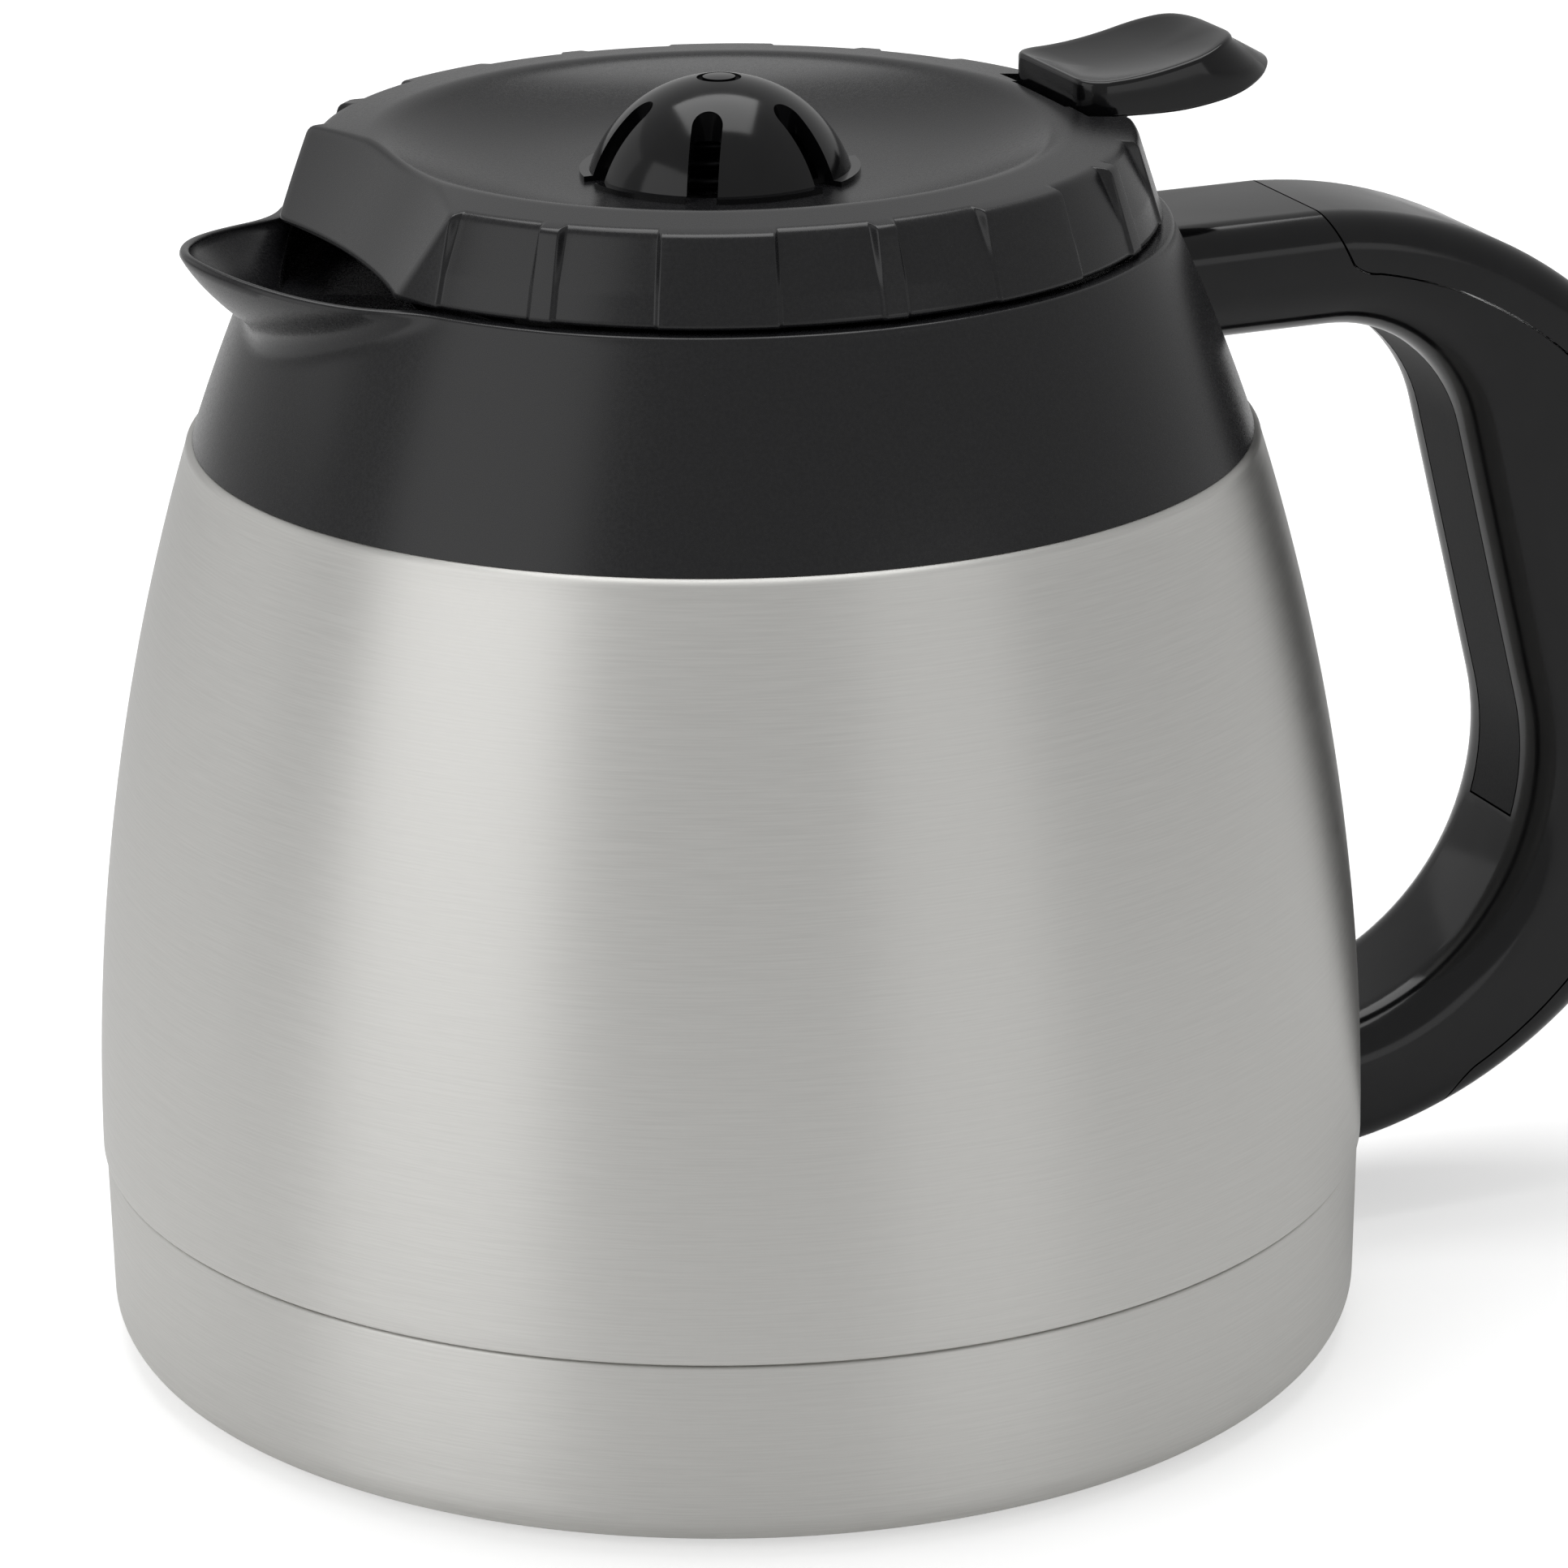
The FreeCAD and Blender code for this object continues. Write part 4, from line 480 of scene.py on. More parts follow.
# %% [markdown]
# ## Collar and spout
# The black collar is a cone that swells into a pouring spout. On the real jug the spout flows out of the
# cone. Two solids pushed into each other would leave a crease there. So the surface is found as the zero
# line of a smooth blend of two distances, one to the cone and one to a bowl with a pointed plan and a keel,
# along rays from the axis.

# %% Distances to the cone and to the spout
COLLAR_FOOT = (0.06095, 0.1084)
COLLAR_TOP = (0.0514, 0.1322)
COLLAR_BOW = 0.205
SPOUT_X = -0.0420
SPOUT_SIZE = Vector((0.0220, 0.0245, 0.0140))
SPOUT_POINT = 1.72
SPOUT_KEEL = 1.25
BLEND = 0.0028
collar_height = COLLAR_TOP[1] - COLLAR_FOOT[1]
collar_draw = COLLAR_TOP[0] - COLLAR_FOOT[0]


def cone_radius(z):
    """Radius of the bowed cone at a height."""
    share = (z - COLLAR_FOOT[1]) / collar_height
    chord = math.hypot(collar_draw, collar_height)
    bulge = (chord / 2) ** 2 / (2 * COLLAR_BOW) * 4 * share * (1 - share)
    return COLLAR_FOOT[0] + collar_draw * share + bulge


def power_sum(first, second, power):
    """Length of two sides by a power; 2 gives a round outline and 1 a diamond."""
    return (abs(first) ** power + abs(second) ** power) ** (1 / power)


def spout_distance(point, size):
    """Distance to a bowl with a pointed plan and a keel below, hung from the collar's top edge."""
    near = Vector((point.x - SPOUT_X, point.y, point.z - COLLAR_TOP[1]))
    plan = power_sum(near.x / size.x, near.y / size.y, SPOUT_POINT)
    share = power_sum(plan, near.z / size.z, SPOUT_KEEL)
    return near.length * (1 - 1 / max(share, 1e-6))


def blended(first, second, width):
    """Smooth lesser of two distances."""
    mix = max(0.0, min(1.0, 0.5 + 0.5 * (second - first) / width))
    return second + (first - second) * mix - width * mix * (1 - mix)


print("cone radius at its foot", round(cone_radius(COLLAR_FOOT[1]), 5))

# %% Helpers: how far a shape reaches, and a mesh from slices
def reach_of(inside, low, high):
    """The largest radius between low and high that is still inside, by halving."""
    for step in range(40):
        middle = (low + high) / 2
        if inside(middle):
            low = middle
        else:
            high = middle
    return low


def around_axis(angle, outline):
    """Places (radius, height) points at an angle round the axis."""
    return [(r * math.cos(angle), r * math.sin(angle), z) for r, z in outline]


def sliced_mesh(name, outlines):
    """Closed mesh from outlines of the same length, one after another round the axis."""
    rows = len(outlines[0])
    count = len(outlines)
    faces = []
    for step in range(count):
        here = step * rows
        there = (step + 1) % count * rows
        for row in range(rows):
            after = (row + 1) % rows
            faces.append((here + row, there + row, there + after, here + after))
    mesh = bpy.data.meshes.new(name)
    mesh.from_pydata([point for outline in outlines for point in outline], [], faces)
    return closed_mesh(mesh, 1e-7)


print("slice helpers ready")

# %% [markdown]
# ## Collar, slice by slice
# Each slice round the axis is one closed outline: outside, lip, inside, and the web that holds the neck. A
# remeshed volume could give the same blend, but with uneven faces. Slices keep the faces in clean rows. The
# lip rises towards the tip of the spout, as it does on the real jug.

# %% Build the collar
COLLAR_STEPS = 320
COLLAR_CREASE = math.radians(40.0)
OUTSIDE_STEPS = 30
OUTSIDE_CROWD = 0.8
INSIDE_STEPS = 10
COLLAR_WALL = 0.0024
INSIDE_FLARE = 0.16
GUTTER_FLOOR = 0.126
EDGE_ROUND = 0.0005
SPOUT_WALL = 0.0011
SPOUT_FLOOR = 0.0026
LIP_RISE = 0.0022
LIP_REACH = 0.0114
LIP_FADE = 4
INSIDE_BLEND = 0.6 * BLEND
COLLAR_SEARCH = (0.030, 0.080)
NECK_BORE = 0.0363
WEB_TOP = 0.1254
WEB_FOOT = 0.1234
SOCKET = (0.0397, 0.0417)
SOCKET_FOOT = 0.1165
WEB_OUTER = 0.0512
FOOT_INNER = 0.05855
inner_size = SPOUT_SIZE - Vector((SPOUT_WALL, SPOUT_WALL, SPOUT_FLOOR))
edge_start = COLLAR_TOP[1] - EDGE_ROUND
outer_rise = edge_start - COLLAR_FOOT[1]
outer_shares = [(step / OUTSIDE_STEPS) ** OUTSIDE_CROWD for step in range(OUTSIDE_STEPS + 1)]
outer_heights = [COLLAR_FOOT[1] + outer_rise * share for share in outer_shares]
inner_heights = [edge_start - (edge_start - GUTTER_FLOOR) * s / INSIDE_STEPS for s in range(INSIDE_STEPS + 1)]
UNDERSIDE = [(NECK_BORE, WEB_TOP), (NECK_BORE, WEB_FOOT), (SOCKET[0], WEB_FOOT), (SOCKET[0], SOCKET_FOOT)]
UNDERSIDE += [(SOCKET[1], SOCKET_FOOT), (SOCKET[1], WEB_FOOT), (WEB_OUTER, WEB_FOOT)]
UNDERSIDE += [(FOOT_INNER, COLLAR_FOOT[1])]


def skin_radius(angle, z, cone, size, width):
    """Where the ray at this angle and height leaves the blended skin."""
    def inside(radius):
        point = Vector((radius * math.cos(angle), radius * math.sin(angle), z))
        return blended(radius - cone, spout_distance(point, size), width) <= 0
    return reach_of(inside, *COLLAR_SEARCH)


def collar_slice(angle):
    """One closed outline of the collar at an angle round the axis, as (radius, height) points."""
    outline = [(skin_radius(angle, z, cone_radius(z), SPOUT_SIZE, BLEND), z) for z in outer_heights]
    inner = []
    for z in inner_heights:
        cone = COLLAR_TOP[0] - COLLAR_WALL + (COLLAR_TOP[1] - z) * INSIDE_FLARE
        inner.append((skin_radius(angle, z, cone, inner_size, INSIDE_BLEND), z))
    outer_edge = outline[-1][0]
    inner_edge = min(inner[0][0], outer_edge - 2 * EDGE_ROUND)
    outline += arc((outer_edge - EDGE_ROUND, edge_start), EDGE_ROUND, 20, 90, 4)
    outline += arc((inner_edge + EDGE_ROUND, edge_start), EDGE_ROUND, 90, 160, 4)
    outline += [(inner_edge, edge_start)] + inner[1:]
    lift = LIP_RISE * max((outer_edge - COLLAR_TOP[0]) / LIP_REACH, 0.0) ** 2
    lifted = [(r, z + lift * max((z - COLLAR_FOOT[1]) / collar_height, 0.0) ** LIP_FADE) for r, z in outline]
    return lifted + UNDERSIDE


collar_angles = [2 * math.pi * step / COLLAR_STEPS for step in range(COLLAR_STEPS)]
collar_mesh = sliced_mesh("collar_skin", [around_axis(angle, collar_slice(angle)) for angle in collar_angles])
dress(finished(collar_mesh, COLLAR_CREASE), "collar")
spout_tip = min(vert.co.x for vert in collar_mesh.vertices)
print("collar", len(collar_mesh.polygons), "faces, spout tip at x", round(spout_tip, 5))

# %% [markdown]
# ## Lid
# The lid is a turned dish and skirt with sunk grip panels, and a visor scooped out over the spout. It could
# be cut from solids, but then every edge would be knife sharp. Here each slice round the axis is one
# outline. The panels and the visor only change how far out the slice reaches, so their edges come out
# softly rounded.

# %% Shape of the lid: top face, skirt, panels and visor
LID_FOOT = 0.1327
LID_RADIUS = 0.0504
RIM = (0.0476, 0.1417)
CREST = (0.0392, 0.1432)
CREST_BLEND = 0.0009
SHELF_FALL = 0.104
DISH_FLOOR = 0.1380
DISH_FLAT = 0.0175
DISH_BOW = 0.0453
PANEL_PITCH = 45.0
PANEL_HALF = 6.6
PANEL_OFFSET = 8.25
PANEL_SIDE = 0.8
PANEL_TOP = (0.0460, 0.1424)
PANEL_FOOT = (0.0505, 0.1330)
PANEL_FOOT_DEPTH = 0.00035
VISOR_ROUND = 0.120
VISOR_LEAN = math.radians(32.6)
VISOR_FOOT = -0.0446
VISOR_SECTOR = -0.3
VISOR_BLEND = 0.0005
NO_LIMIT = 1.0
panel_centres = (PANEL_OFFSET, PANEL_PITCH - PANEL_OFFSET)


def top_height(radius):
    """Height of the dish, its rounded crest and the shelf outside it."""
    over = max(radius - DISH_FLAT, 0.0)
    dish = DISH_FLOOR + DISH_BOW - math.sqrt(DISH_BOW ** 2 - over ** 2)
    shelf = CREST[1] - SHELF_FALL * (radius - CREST[0])
    return blended(dish, shelf, CREST_BLEND)


def panel_share(angle):
    """1 inside a sunk panel, 0 between panels, with a short slope at each side."""
    degrees = math.degrees(angle) % PANEL_PITCH
    inside = max((PANEL_HALF - abs(degrees - centre)) / PANEL_SIDE + 0.5 for centre in panel_centres)
    share = min(1.0, max(0.0, inside))
    return share * share * (3 - 2 * share)


def visor_radius(angle, z):
    """How far out the visor's leaning cylinder lets the lid reach; its cut at one height is an ellipse."""
    along = Vector((math.cos(angle), math.sin(angle)))
    wide = VISOR_ROUND / math.cos(VISOR_LEAN)
    middle = VISOR_FOOT - wide + (z - LID_FOOT) * math.tan(VISOR_LEAN)
    a = (along.x / wide) ** 2 + (along.y / VISOR_ROUND) ** 2
    b = -2 * along.x * middle / wide ** 2
    c = (middle / wide) ** 2 - 1
    rest = b * b - 4 * a * c
    if along.x > VISOR_SECTOR or rest < 0:
        return NO_LIMIT
    return (-b - math.sqrt(rest)) / (2 * a)


def side_radius(angle, z):
    """Reach of the skirt at an angle and height, with panels and visor."""
    skirt = LID_RADIUS + (RIM[0] - LID_RADIUS) * (z - LID_FOOT) / (RIM[1] - LID_FOOT)
    panel_run = (PANEL_FOOT[0] - PANEL_TOP[0]) / (PANEL_TOP[1] - PANEL_FOOT[1])
    sunk = PANEL_TOP[0] + panel_run * (PANEL_TOP[1] - z)
    skirt -= panel_share(angle) * max(skirt - sunk, PANEL_FOOT_DEPTH)
    return blended(skirt, visor_radius(angle, z), VISOR_BLEND)


print("visor reach at the foot", round(visor_radius(math.pi, LID_FOOT), 5))

# %% [markdown]
# ## Lid, slice by slice
# A slice runs over the dish and the crest, round a soft corner, down the skirt and back along the inside.
# Slices at even steps would miss the short sides of the panels. So there are extra ones at each panel side,
# and finer steps across the visor.

# %% Outline of one slice of the lid
LID_SEARCH = (0.030, 0.050)
DOME_HOLE = 0.0130
CORNER = 0.0008
CORNER_STEPS = 4
SIDE_STEPS = 22
FOOT_ROUND = 0.0003
LID_WALL = 0.0024
CEILING = (0.0446, 0.1400)
CREST_INSIDE = [(0.0392, 0.1400, 0.0004), (0.0374, 0.1395, 0.0008)]
DISH_INSIDE = [(0.0300, 0.1371), (0.0240, 0.1360), (DISH_FLAT, 0.1356), (DOME_HOLE, 0.1356)]
TOP_RADII = [DOME_HOLE, 0.015, DISH_FLAT] + [DISH_FLAT + 0.001 * s for s in range(1, 19)]
TOP_RADII += [0.0361 + 0.0004 * s for s in range(14)] + [0.0425, 0.0437, 0.0449]


def lid_slice(angle):
    """One closed outline of the lid at an angle, as (radius, height) points."""
    edge = reach_of(lambda radius: radius < side_radius(angle, top_height(radius)), *LID_SEARCH)
    edge_z = top_height(edge)
    outline = []
    for radius in TOP_RADII:
        held = min(radius, edge - CORNER)
        outline.append((held, top_height(held)))
    start = Vector((edge - CORNER, top_height(edge - CORNER)))
    corner = Vector((edge, edge_z))
    finish = Vector((side_radius(angle, edge_z - CORNER), edge_z - CORNER))
    for step in range(CORNER_STEPS + 1):
        t = step / CORNER_STEPS
        outline.append(tuple(start * (1 - t) ** 2 + corner * 2 * t * (1 - t) + finish * t * t))
    for step in range(1, SIDE_STEPS + 1):
        z = finish.y + (LID_FOOT + FOOT_ROUND - finish.y) * step / SIDE_STEPS
        outline.append((side_radius(angle, z), z))
    foot = side_radius(angle, LID_FOOT)
    ceiling = min(CEILING[0], edge - LID_WALL)
    outline += [(foot - FOOT_ROUND, LID_FOOT), (foot - LID_WALL, LID_FOOT), (ceiling, CEILING[1])]
    outline += [(min(radius, ceiling - inset), z) for radius, z, inset in CREST_INSIDE]
    return outline + DISH_INSIDE


print("a slice has", len(lid_slice(0.0)), "points")

# %% Build the lid from slices
COARSE_STEP = 1.5
VISOR_STEP = 0.5
VISOR_START = 150.0
VISOR_STEPS = 120
PANEL_SIDE_SHARES = (-0.55, -0.45, -0.35, -0.2, 0.0, 0.2, 0.35, 0.45, 0.55)
lid_angles = set(COARSE_STEP * s for s in range(round(360.0 / COARSE_STEP)))
lid_angles |= set(VISOR_START + VISOR_STEP * s for s in range(VISOR_STEPS + 1))
for turn in range(round(360.0 / PANEL_PITCH)):
    for centre in panel_centres:
        for side in (-PANEL_HALF, PANEL_HALF):
            for share in PANEL_SIDE_SHARES:
                lid_angles.add(round((PANEL_PITCH * turn + centre + side + share * PANEL_SIDE) % 360.0, 3))
lid_angles = [math.radians(degrees) for degrees in sorted(lid_angles)]
lid_mesh = sliced_mesh("lid_top_skin", [around_axis(angle, lid_slice(angle)) for angle in lid_angles])
print("lid", len(lid_mesh.polygons), "faces from", len(lid_angles), "slices")

# %% [markdown]
# ## Notch for the lever
# The lever lies in a notch of the rim and its lugs go down through an opening. Both are plain boxes. They
# could be left out of the slices point by point, but they do not follow the axis. A Boolean modifier takes
# them out of the finished lid in one step each.

# %% Helper: a box mesh to cut with
BOX_FACES = ((0, 1, 3, 2), (4, 6, 7, 5), (0, 4, 5, 1), (2, 3, 7, 6), (0, 2, 6, 4), (1, 5, 7, 3))


def box_mesh(name, low, high):
    points = [(x, y, z) for x in (low[0], high[0]) for y in (low[1], high[1]) for z in (low[2], high[2])]
    mesh = bpy.data.meshes.new(name)
    mesh.from_pydata(points, [], BOX_FACES)
    return mesh


print("box helper ready")

# %% Cut the notch and the lug opening
LID_CREASE = math.radians(55.0)
NOTCH_X = (0.0404, 0.0600)
NOTCH_HALF = 0.0122
NOTCH_FLOOR = 0.1410
LUG_X = (0.0397, 0.0469)
LUG_HALF = 0.0073
LUG_FLOOR = 0.1300
ABOVE_LID = 0.1500
notch_room = ((NOTCH_X[0], -NOTCH_HALF, NOTCH_FLOOR), (NOTCH_X[1], NOTCH_HALF, ABOVE_LID))
lug_room = ((LUG_X[0], -LUG_HALF, LUG_FLOOR), (LUG_X[1], LUG_HALF, ABOVE_LID))
lid_skin = bpy.data.objects.new("lid_top_skin", lid_mesh)
bpy.context.collection.objects.link(lid_skin)
for low, high in (notch_room, lug_room):
    tool = bpy.data.objects.new("lever_room", box_mesh("lever_room", low, high))
    bpy.context.collection.objects.link(tool)
    opening = lid_skin.modifiers.new("lever_room", "BOOLEAN")
    opening.object = tool
    opening.operation = "DIFFERENCE"
    opening.solver = "EXACT"
    depsgraph = bpy.context.evaluated_depsgraph_get()
    lid_mesh = bpy.data.meshes.new_from_object(lid_skin.evaluated_get(depsgraph))
    lid_skin.modifiers.remove(opening)
    lid_skin.data = lid_mesh
    bpy.data.objects.remove(tool)
lid_mesh.shade_smooth()
lid_mesh.set_sharp_from_angle(angle=LID_CREASE)
dress(lid_skin, "lid_top")
print("lid with notch", len(lid_mesh.polygons), "faces")

# %% [markdown]
# ## Lever
# The lever's thumb rest is a soft scoop with rounded corners and a nose that leans outwards to its lower
# edge. A bevelled box could come near it, but not with that scoop. So it is a stack of rings. Each ring is
# the same rounded outline, drawn in towards a spine and set on the curve of its face. The lugs and the fork
# below stay as the CAD model has them.

# %% Curves and plans of the thumb rest
ROOT_X = 0.0408
TOP_END = 0.0625
LOW_END = 0.0675
REST_HALF = 0.0105
ROOT_ROUND = 0.0035
TOP_ROUND = 0.0080
LOW_ROUND = 0.0090
CORNER_POINTS = 24
SIDE_POINTS = 18
END_POINTS = 6
REST_TOP = [(ROOT_X, 0.1463, -0.073), (0.0587, 0.14885, 0.30), (TOP_END, 0.1491, -0.25)]
REST_UNDER = [(ROOT_X, 0.1420, 0.0), (0.0520, 0.1418, 0.02), (LOW_END, 0.1452, 0.36)]


def through(stations, x):
    """Height on a smooth curve through (x, height, slope) stations."""
    for (x0, z0, m0), (x1, z1, m1) in zip(stations, stations[1:]):
        if x <= x1 or x1 == stations[-1][0]:
            run = x1 - x0
            t = min(1.0, max(0.0, (x - x0) / run))
            blend = t * t * (3 - 2 * t)
            bend = m0 * run * t * (1 - t) ** 2 - m1 * run * t * t * (1 - t)
            return z0 + (z1 - z0) * blend + bend


def rest_outline(end_x, nose_round):
    """Rounded plan of the thumb rest from the root to a nose end."""
    corners = [(end_x - nose_round, REST_HALF - nose_round, nose_round, 0),
               (ROOT_X + ROOT_ROUND, REST_HALF - ROOT_ROUND, ROOT_ROUND, 90),
               (ROOT_X + ROOT_ROUND, ROOT_ROUND - REST_HALF, ROOT_ROUND, 180),
               (end_x - nose_round, nose_round - REST_HALF, nose_round, 270)]
    turned = []
    for x, y, size, start in corners:
        turned.append([Vector(point) for point in arc((x, y), size, start, start + 90, CORNER_POINTS)])
    points = []
    for number, corner in enumerate(turned):
        following = turned[(number + 1) % len(turned)]
        between = SIDE_POINTS if number % 2 == 0 else END_POINTS
        points += corner
        points += [corner[-1].lerp(following[0], step / between) for step in range(1, between)]
    return points


low_plan = rest_outline(LOW_END, LOW_ROUND)
top_plan = rest_outline(TOP_END, TOP_ROUND)
print("plans of", len(low_plan), "points")

# %% Rings of the thumb rest
SPINE_ROOT = 0.006
SPINE_NOSE = 0.0085
SCOOP = 0.0008
SCOOP_EDGE = 0.95
UNDER_RINGS = ((0.0, 0.0), (0.35, 0.0), (0.70, 0.0), (0.92, 0.0))
UNDER_RINGS += ((0.97, 0.00005), (0.99, 0.00020), (1.0, 0.00050))
EDGE_RINGS = ((1.0, 0.00060), (0.990, 0.00025), (0.970, 0.00006))
SCOOP_RINGS = (0.93, 0.85, 0.72, 0.55, 0.35, 0.15, 0.0)


def ring(plan, end_x, curve, share, rise):
    """The plan drawn in towards its spine, set on a curve; share 1 is the full plan and 0 the spine."""
    points = []
    for point in plan:
        spine_x = min(max(point.x, ROOT_X + SPINE_ROOT), end_x - SPINE_NOSE)
        x = spine_x + (point.x - spine_x) * share
        points.append((x, point.y * share, through(curve, x) + rise))
    return points


rings = [ring(low_plan, LOW_END, REST_UNDER, share, rise) for share, rise in UNDER_RINGS]
rings += [ring(top_plan, TOP_END, REST_TOP, share, -drop) for share, drop in EDGE_RINGS]
for share in SCOOP_RINGS:
    rings.append(ring(top_plan, TOP_END, REST_TOP, share, -SCOOP * (1 - (share / SCOOP_EDGE) ** 2)))
print("rings", len(rings), "of", len(rings[0]), "points")

# %% Join the thumb rest to the lugs and the fork
LEVER_CREASE = math.radians(40.0)
STUB_END = 0.0462
STUB_TOP = 0.1421
made = bmesh.new()
made.from_mesh(frame["nodes"]["pour_lever"].data)
bmesh.ops.remove_doubles(made, verts=made.verts, dist=2e-6)
for place, away in (((STUB_END, 0, 0), (1, 0, 0)), ((0, 0, STUB_TOP), (0, 0, 1))):
    everything = made.verts[:] + made.edges[:] + made.faces[:]
    bmesh.ops.bisect_plane(made, geom=everything, dist=1e-7, plane_co=place, plane_no=away, clear_outer=True)
    bmesh.ops.holes_fill(made, edges=[edge for edge in made.edges if edge.is_boundary])
ring_verts = [[made.verts.new(point) for point in points] for points in rings]
around_count = len(rings[0])
for lower, upper in zip(ring_verts, ring_verts[1:]):
    for step in range(around_count):
        after = (step + 1) % around_count
        made.faces.new((lower[step], lower[after], upper[after], upper[step]))
bmesh.ops.remove_doubles(made, verts=made.verts, dist=1e-6)
bmesh.ops.dissolve_degenerate(made, edges=made.edges, dist=1e-7)
bmesh.ops.recalc_face_normals(made, faces=made.faces)
lever_mesh = bpy.data.meshes.new("pour_lever_skin")
made.to_mesh(lever_mesh)
made.free()
dress(finished(lever_mesh, LEVER_CREASE), "pour_lever")
print("lever", len(lever_mesh.polygons), "faces")

# %% [markdown]
# ## The studio
# The jug stands on a pale floor before a white background. A bright room would give that white, but it
# would also wash out the black plastic. So only the camera sees the plain white, and a mirror-like surface
# sees a share of it over a grey room. The floor stays a real surface, so the jug keeps its shadow.

# %% Helpers: who sees the white
MIRROR_SHARE = 0.15
WHITE = (1.0, 1.0, 1.0, 1.0)


def ray_math(tree, operation, first, second):
    """A Math node between an output and another output or a number."""
    node = tree.nodes.new("ShaderNodeMath")
    node.operation = operation
    tree.links.new(first, node.inputs[0])
    if isinstance(second, float):
        node.inputs[1].default_value = second
    else:
        tree.links.new(second, node.inputs[1])
    return node.outputs["Value"]


def white_share(tree):
    """All of the white for the camera and through clear pieces, a share of it in a mirror."""
    rays = tree.nodes.new("ShaderNodeLightPath").outputs
    direct = ray_math(tree, "MAXIMUM", rays["Is Camera Ray"], rays["Is Transmission Ray"])
    mirrored = ray_math(tree, "MULTIPLY", rays["Is Glossy Ray"], MIRROR_SHARE)
    return ray_math(tree, "MAXIMUM", direct, mirrored)


print("mirror share", MIRROR_SHARE)

# %% World
ROOM_STRENGTH = 0.38
world = bpy.data.worlds.new("studio_room")
bpy.context.scene.world = world
world.use_nodes = True
nodes = world.node_tree.nodes
links = world.node_tree.links
nodes.clear()
white = nodes.new("ShaderNodeBackground")
white.inputs["Color"].default_value = WHITE
room = nodes.new("ShaderNodeBackground")
room.inputs["Color"].default_value = WHITE
room.inputs["Strength"].default_value = ROOM_STRENGTH
choose = nodes.new("ShaderNodeMixShader")
result = nodes.new("ShaderNodeOutputWorld")
links.new(white_share(world.node_tree), choose.inputs["Fac"])
links.new(room.outputs["Background"], choose.inputs[1])
links.new(white.outputs["Background"], choose.inputs[2])
links.new(choose.outputs["Shader"], result.inputs["Surface"])
print("world", world.name)

# %% Floor
FLOOR_REACH = 6.0
FLOOR_DROP = -0.0001
FLOOR_LIFT = 0.5
corners = [(-FLOOR_REACH, -FLOOR_REACH), (FLOOR_REACH, -FLOOR_REACH)]
corners += [(FLOOR_REACH, FLOOR_REACH), (-FLOOR_REACH, FLOOR_REACH)]
floor_mesh = bpy.data.meshes.new("floor")
floor_mesh.from_pydata([(x, y, FLOOR_DROP) for x, y in corners], [], [(0, 1, 2, 3)])
floor = bpy.data.objects.new("floor", floor_mesh)
bpy.context.collection.objects.link(floor)
floor_paint = bpy.data.materials.new("pale_floor")
floor_paint.use_nodes = True
nodes = floor_paint.node_tree.nodes
links = floor_paint.node_tree.links
shader = nodes["Principled BSDF"]
shader.inputs["Base Color"].default_value = (0.86, 0.86, 0.86, 1.0)
shader.inputs["Roughness"].default_value = 0.9
shader.inputs["Specular IOR Level"].default_value = 0.0
glow = nodes.new("ShaderNodeEmission")
glow.inputs["Color"].default_value = WHITE
together = nodes.new("ShaderNodeAddShader")
strength = ray_math(floor_paint.node_tree, "MULTIPLY", white_share(floor_paint.node_tree), FLOOR_LIFT)
links.new(strength, glow.inputs["Strength"])
links.new(shader.outputs["BSDF"], together.inputs[0])
links.new(glow.outputs["Emission"], together.inputs[1])
links.new(together.outputs["Shader"], nodes["Material Output"].inputs["Surface"])
floor_mesh.materials.append(floor_paint)
print("floor", floor.name)

# %% [markdown]
# ## Soft boxes
# Large lamps with soft edges draw the long bright bands on steel and plastic. A sun or small lamps would
# leave hard spots there. There are four: a large one to the left, one behind it, one overhead and a weak
# low one to the right.

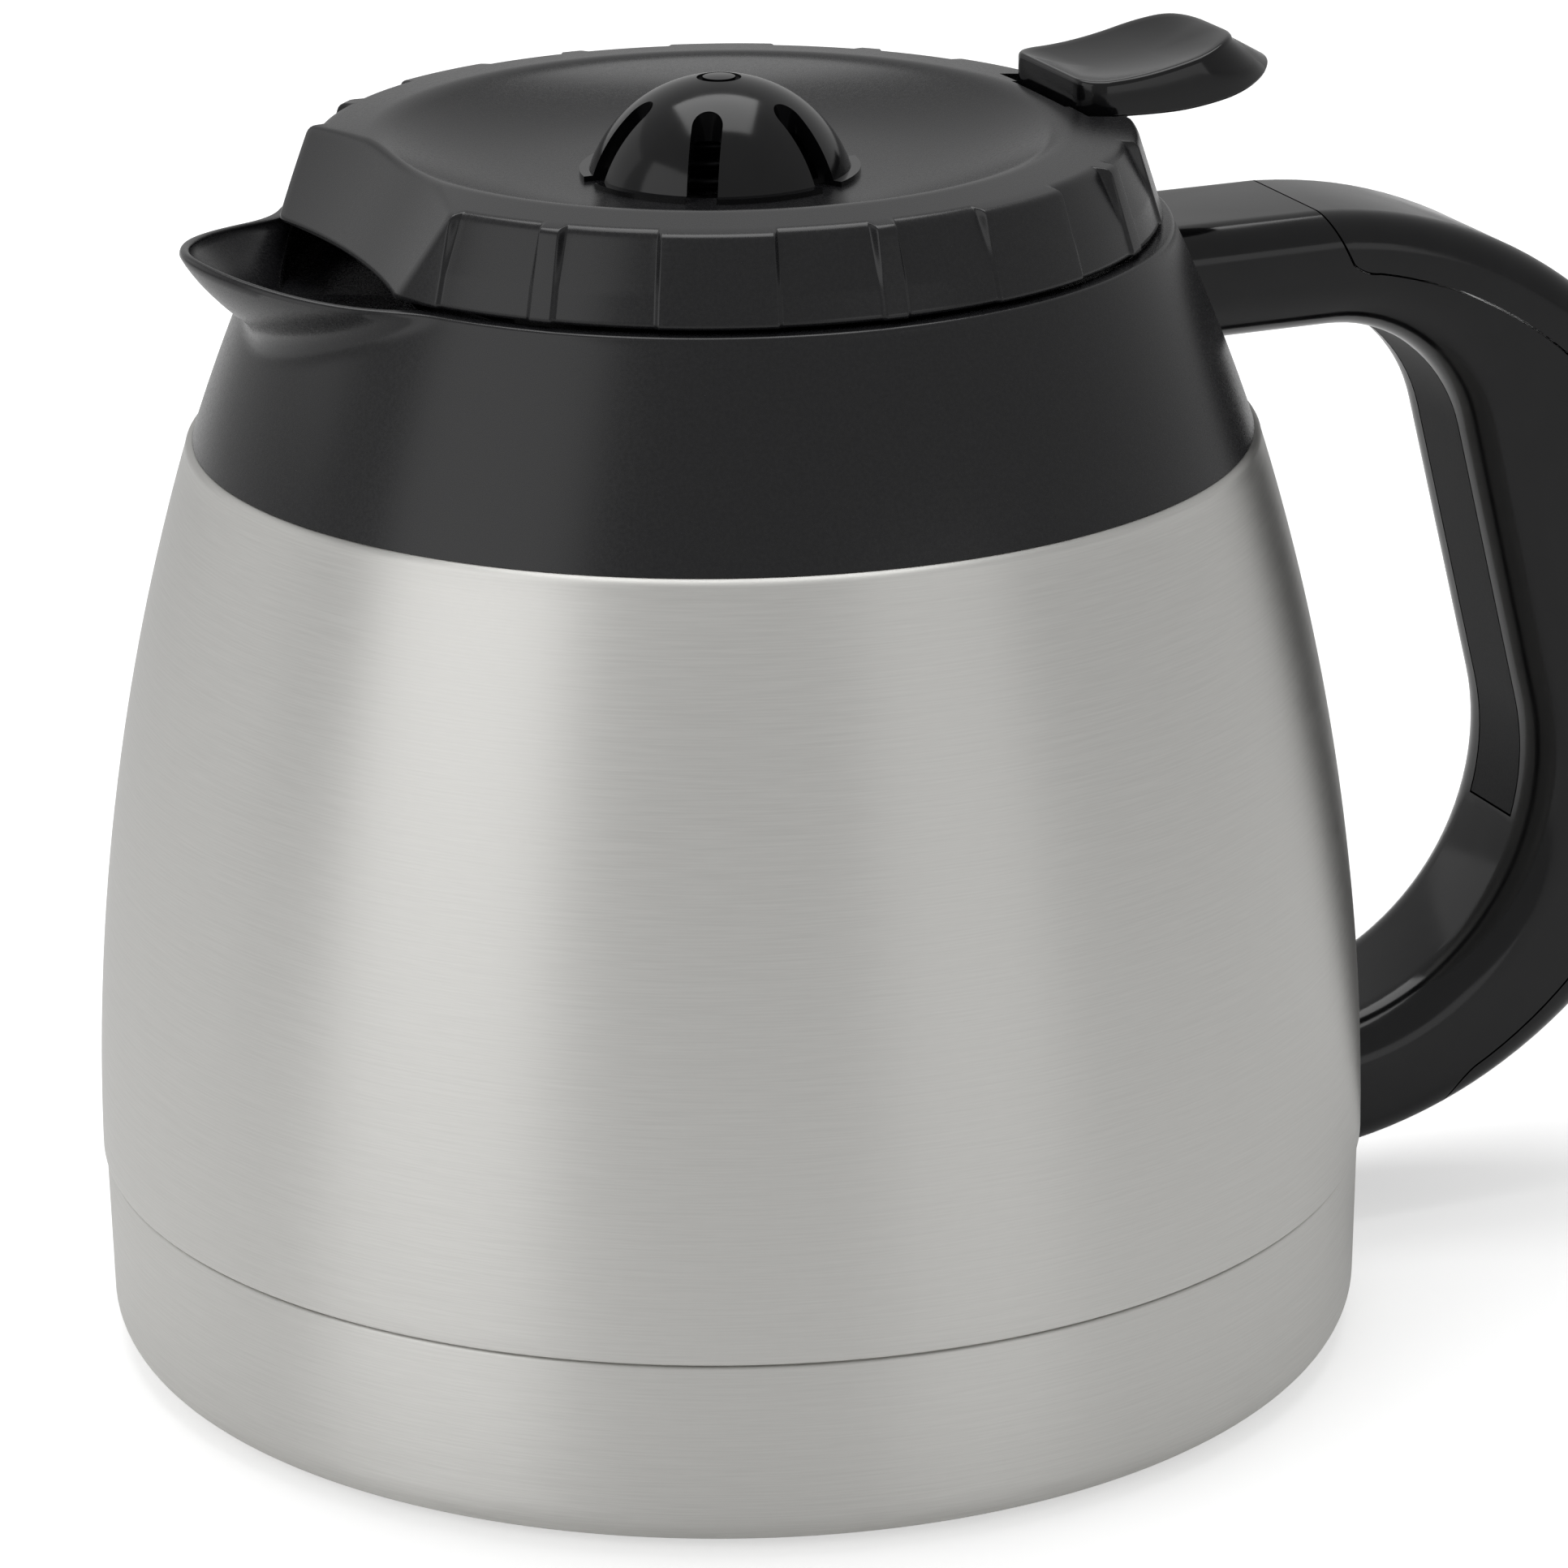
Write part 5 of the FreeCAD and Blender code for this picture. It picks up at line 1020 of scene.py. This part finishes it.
# %% Four soft boxes
AIM = Vector((0.0, 0.0, 0.075))


def soft_box(name, place, width, height, power):
    lamp = bpy.data.lights.new(name, "AREA")
    lamp.shape = "RECTANGLE"
    lamp.size = width
    lamp.size_y = height
    lamp.energy = power
    box = bpy.data.objects.new(name, lamp)
    towards = AIM - Vector(place)
    box.location = place
    box.rotation_euler = towards.to_track_quat("-Z", "Y").to_euler()
    bpy.context.collection.objects.link(box)
    print("%-14s %.2f m away, %.1f W" % (name, towards.length, power))


soft_box("left_box", (-1.25, -0.34, 0.50), 1.05, 1.3, 4.2)
soft_box("back_left_box", (-0.85, 0.95, 0.66), 1.0, 0.7, 0.8)
soft_box("top_box", (0.10, 0.30, 1.35), 1.0, 1.0, 9.0)
soft_box("right_box", (0.45, -1.25, 0.20), 0.75, 0.36, 0.7)

# %% [markdown]
# ## Camera
# The camera stands where the photograph was taken from: in front of the jug, a little to the spout's side
# and above. It could be aimed at a target, but the photograph is also rolled by half a degree. So its three
# axes are worked out from heading, pitch and roll.

# %% Camera at the photograph's angle
CAMERA_PLACE = (-0.2748, -0.6776, 0.3148)
CAMERA_LENS = 151.4
SENSOR_WIDTH = 36.0
heading = Vector((0.384, 0.923, 0.0)).normalized()
pitch = math.radians(18.91)
roll = math.radians(0.57)
forward = heading * math.cos(pitch) + Vector((0.0, 0.0, -math.sin(pitch)))
right = Vector((heading.y, -heading.x, 0.0))
up = right.cross(forward)
rolled_right = right * math.cos(roll) - up * math.sin(roll)
rolled_up = up * math.cos(roll) + right * math.sin(roll)
camera_data = bpy.data.cameras.new("photo_camera")
camera_data.sensor_width = SENSOR_WIDTH
camera_data.lens = CAMERA_LENS
camera = bpy.data.objects.new("photo_camera", camera_data)
axes = Matrix((rolled_right, rolled_up, -forward)).transposed()
camera.matrix_world = Matrix.Translation(CAMERA_PLACE) @ axes.to_4x4()
bpy.context.collection.objects.link(camera)
bpy.context.scene.camera = camera
bpy.context.scene.view_settings.view_transform = "Standard"
print("camera", [round(c, 4) for c in camera.location])
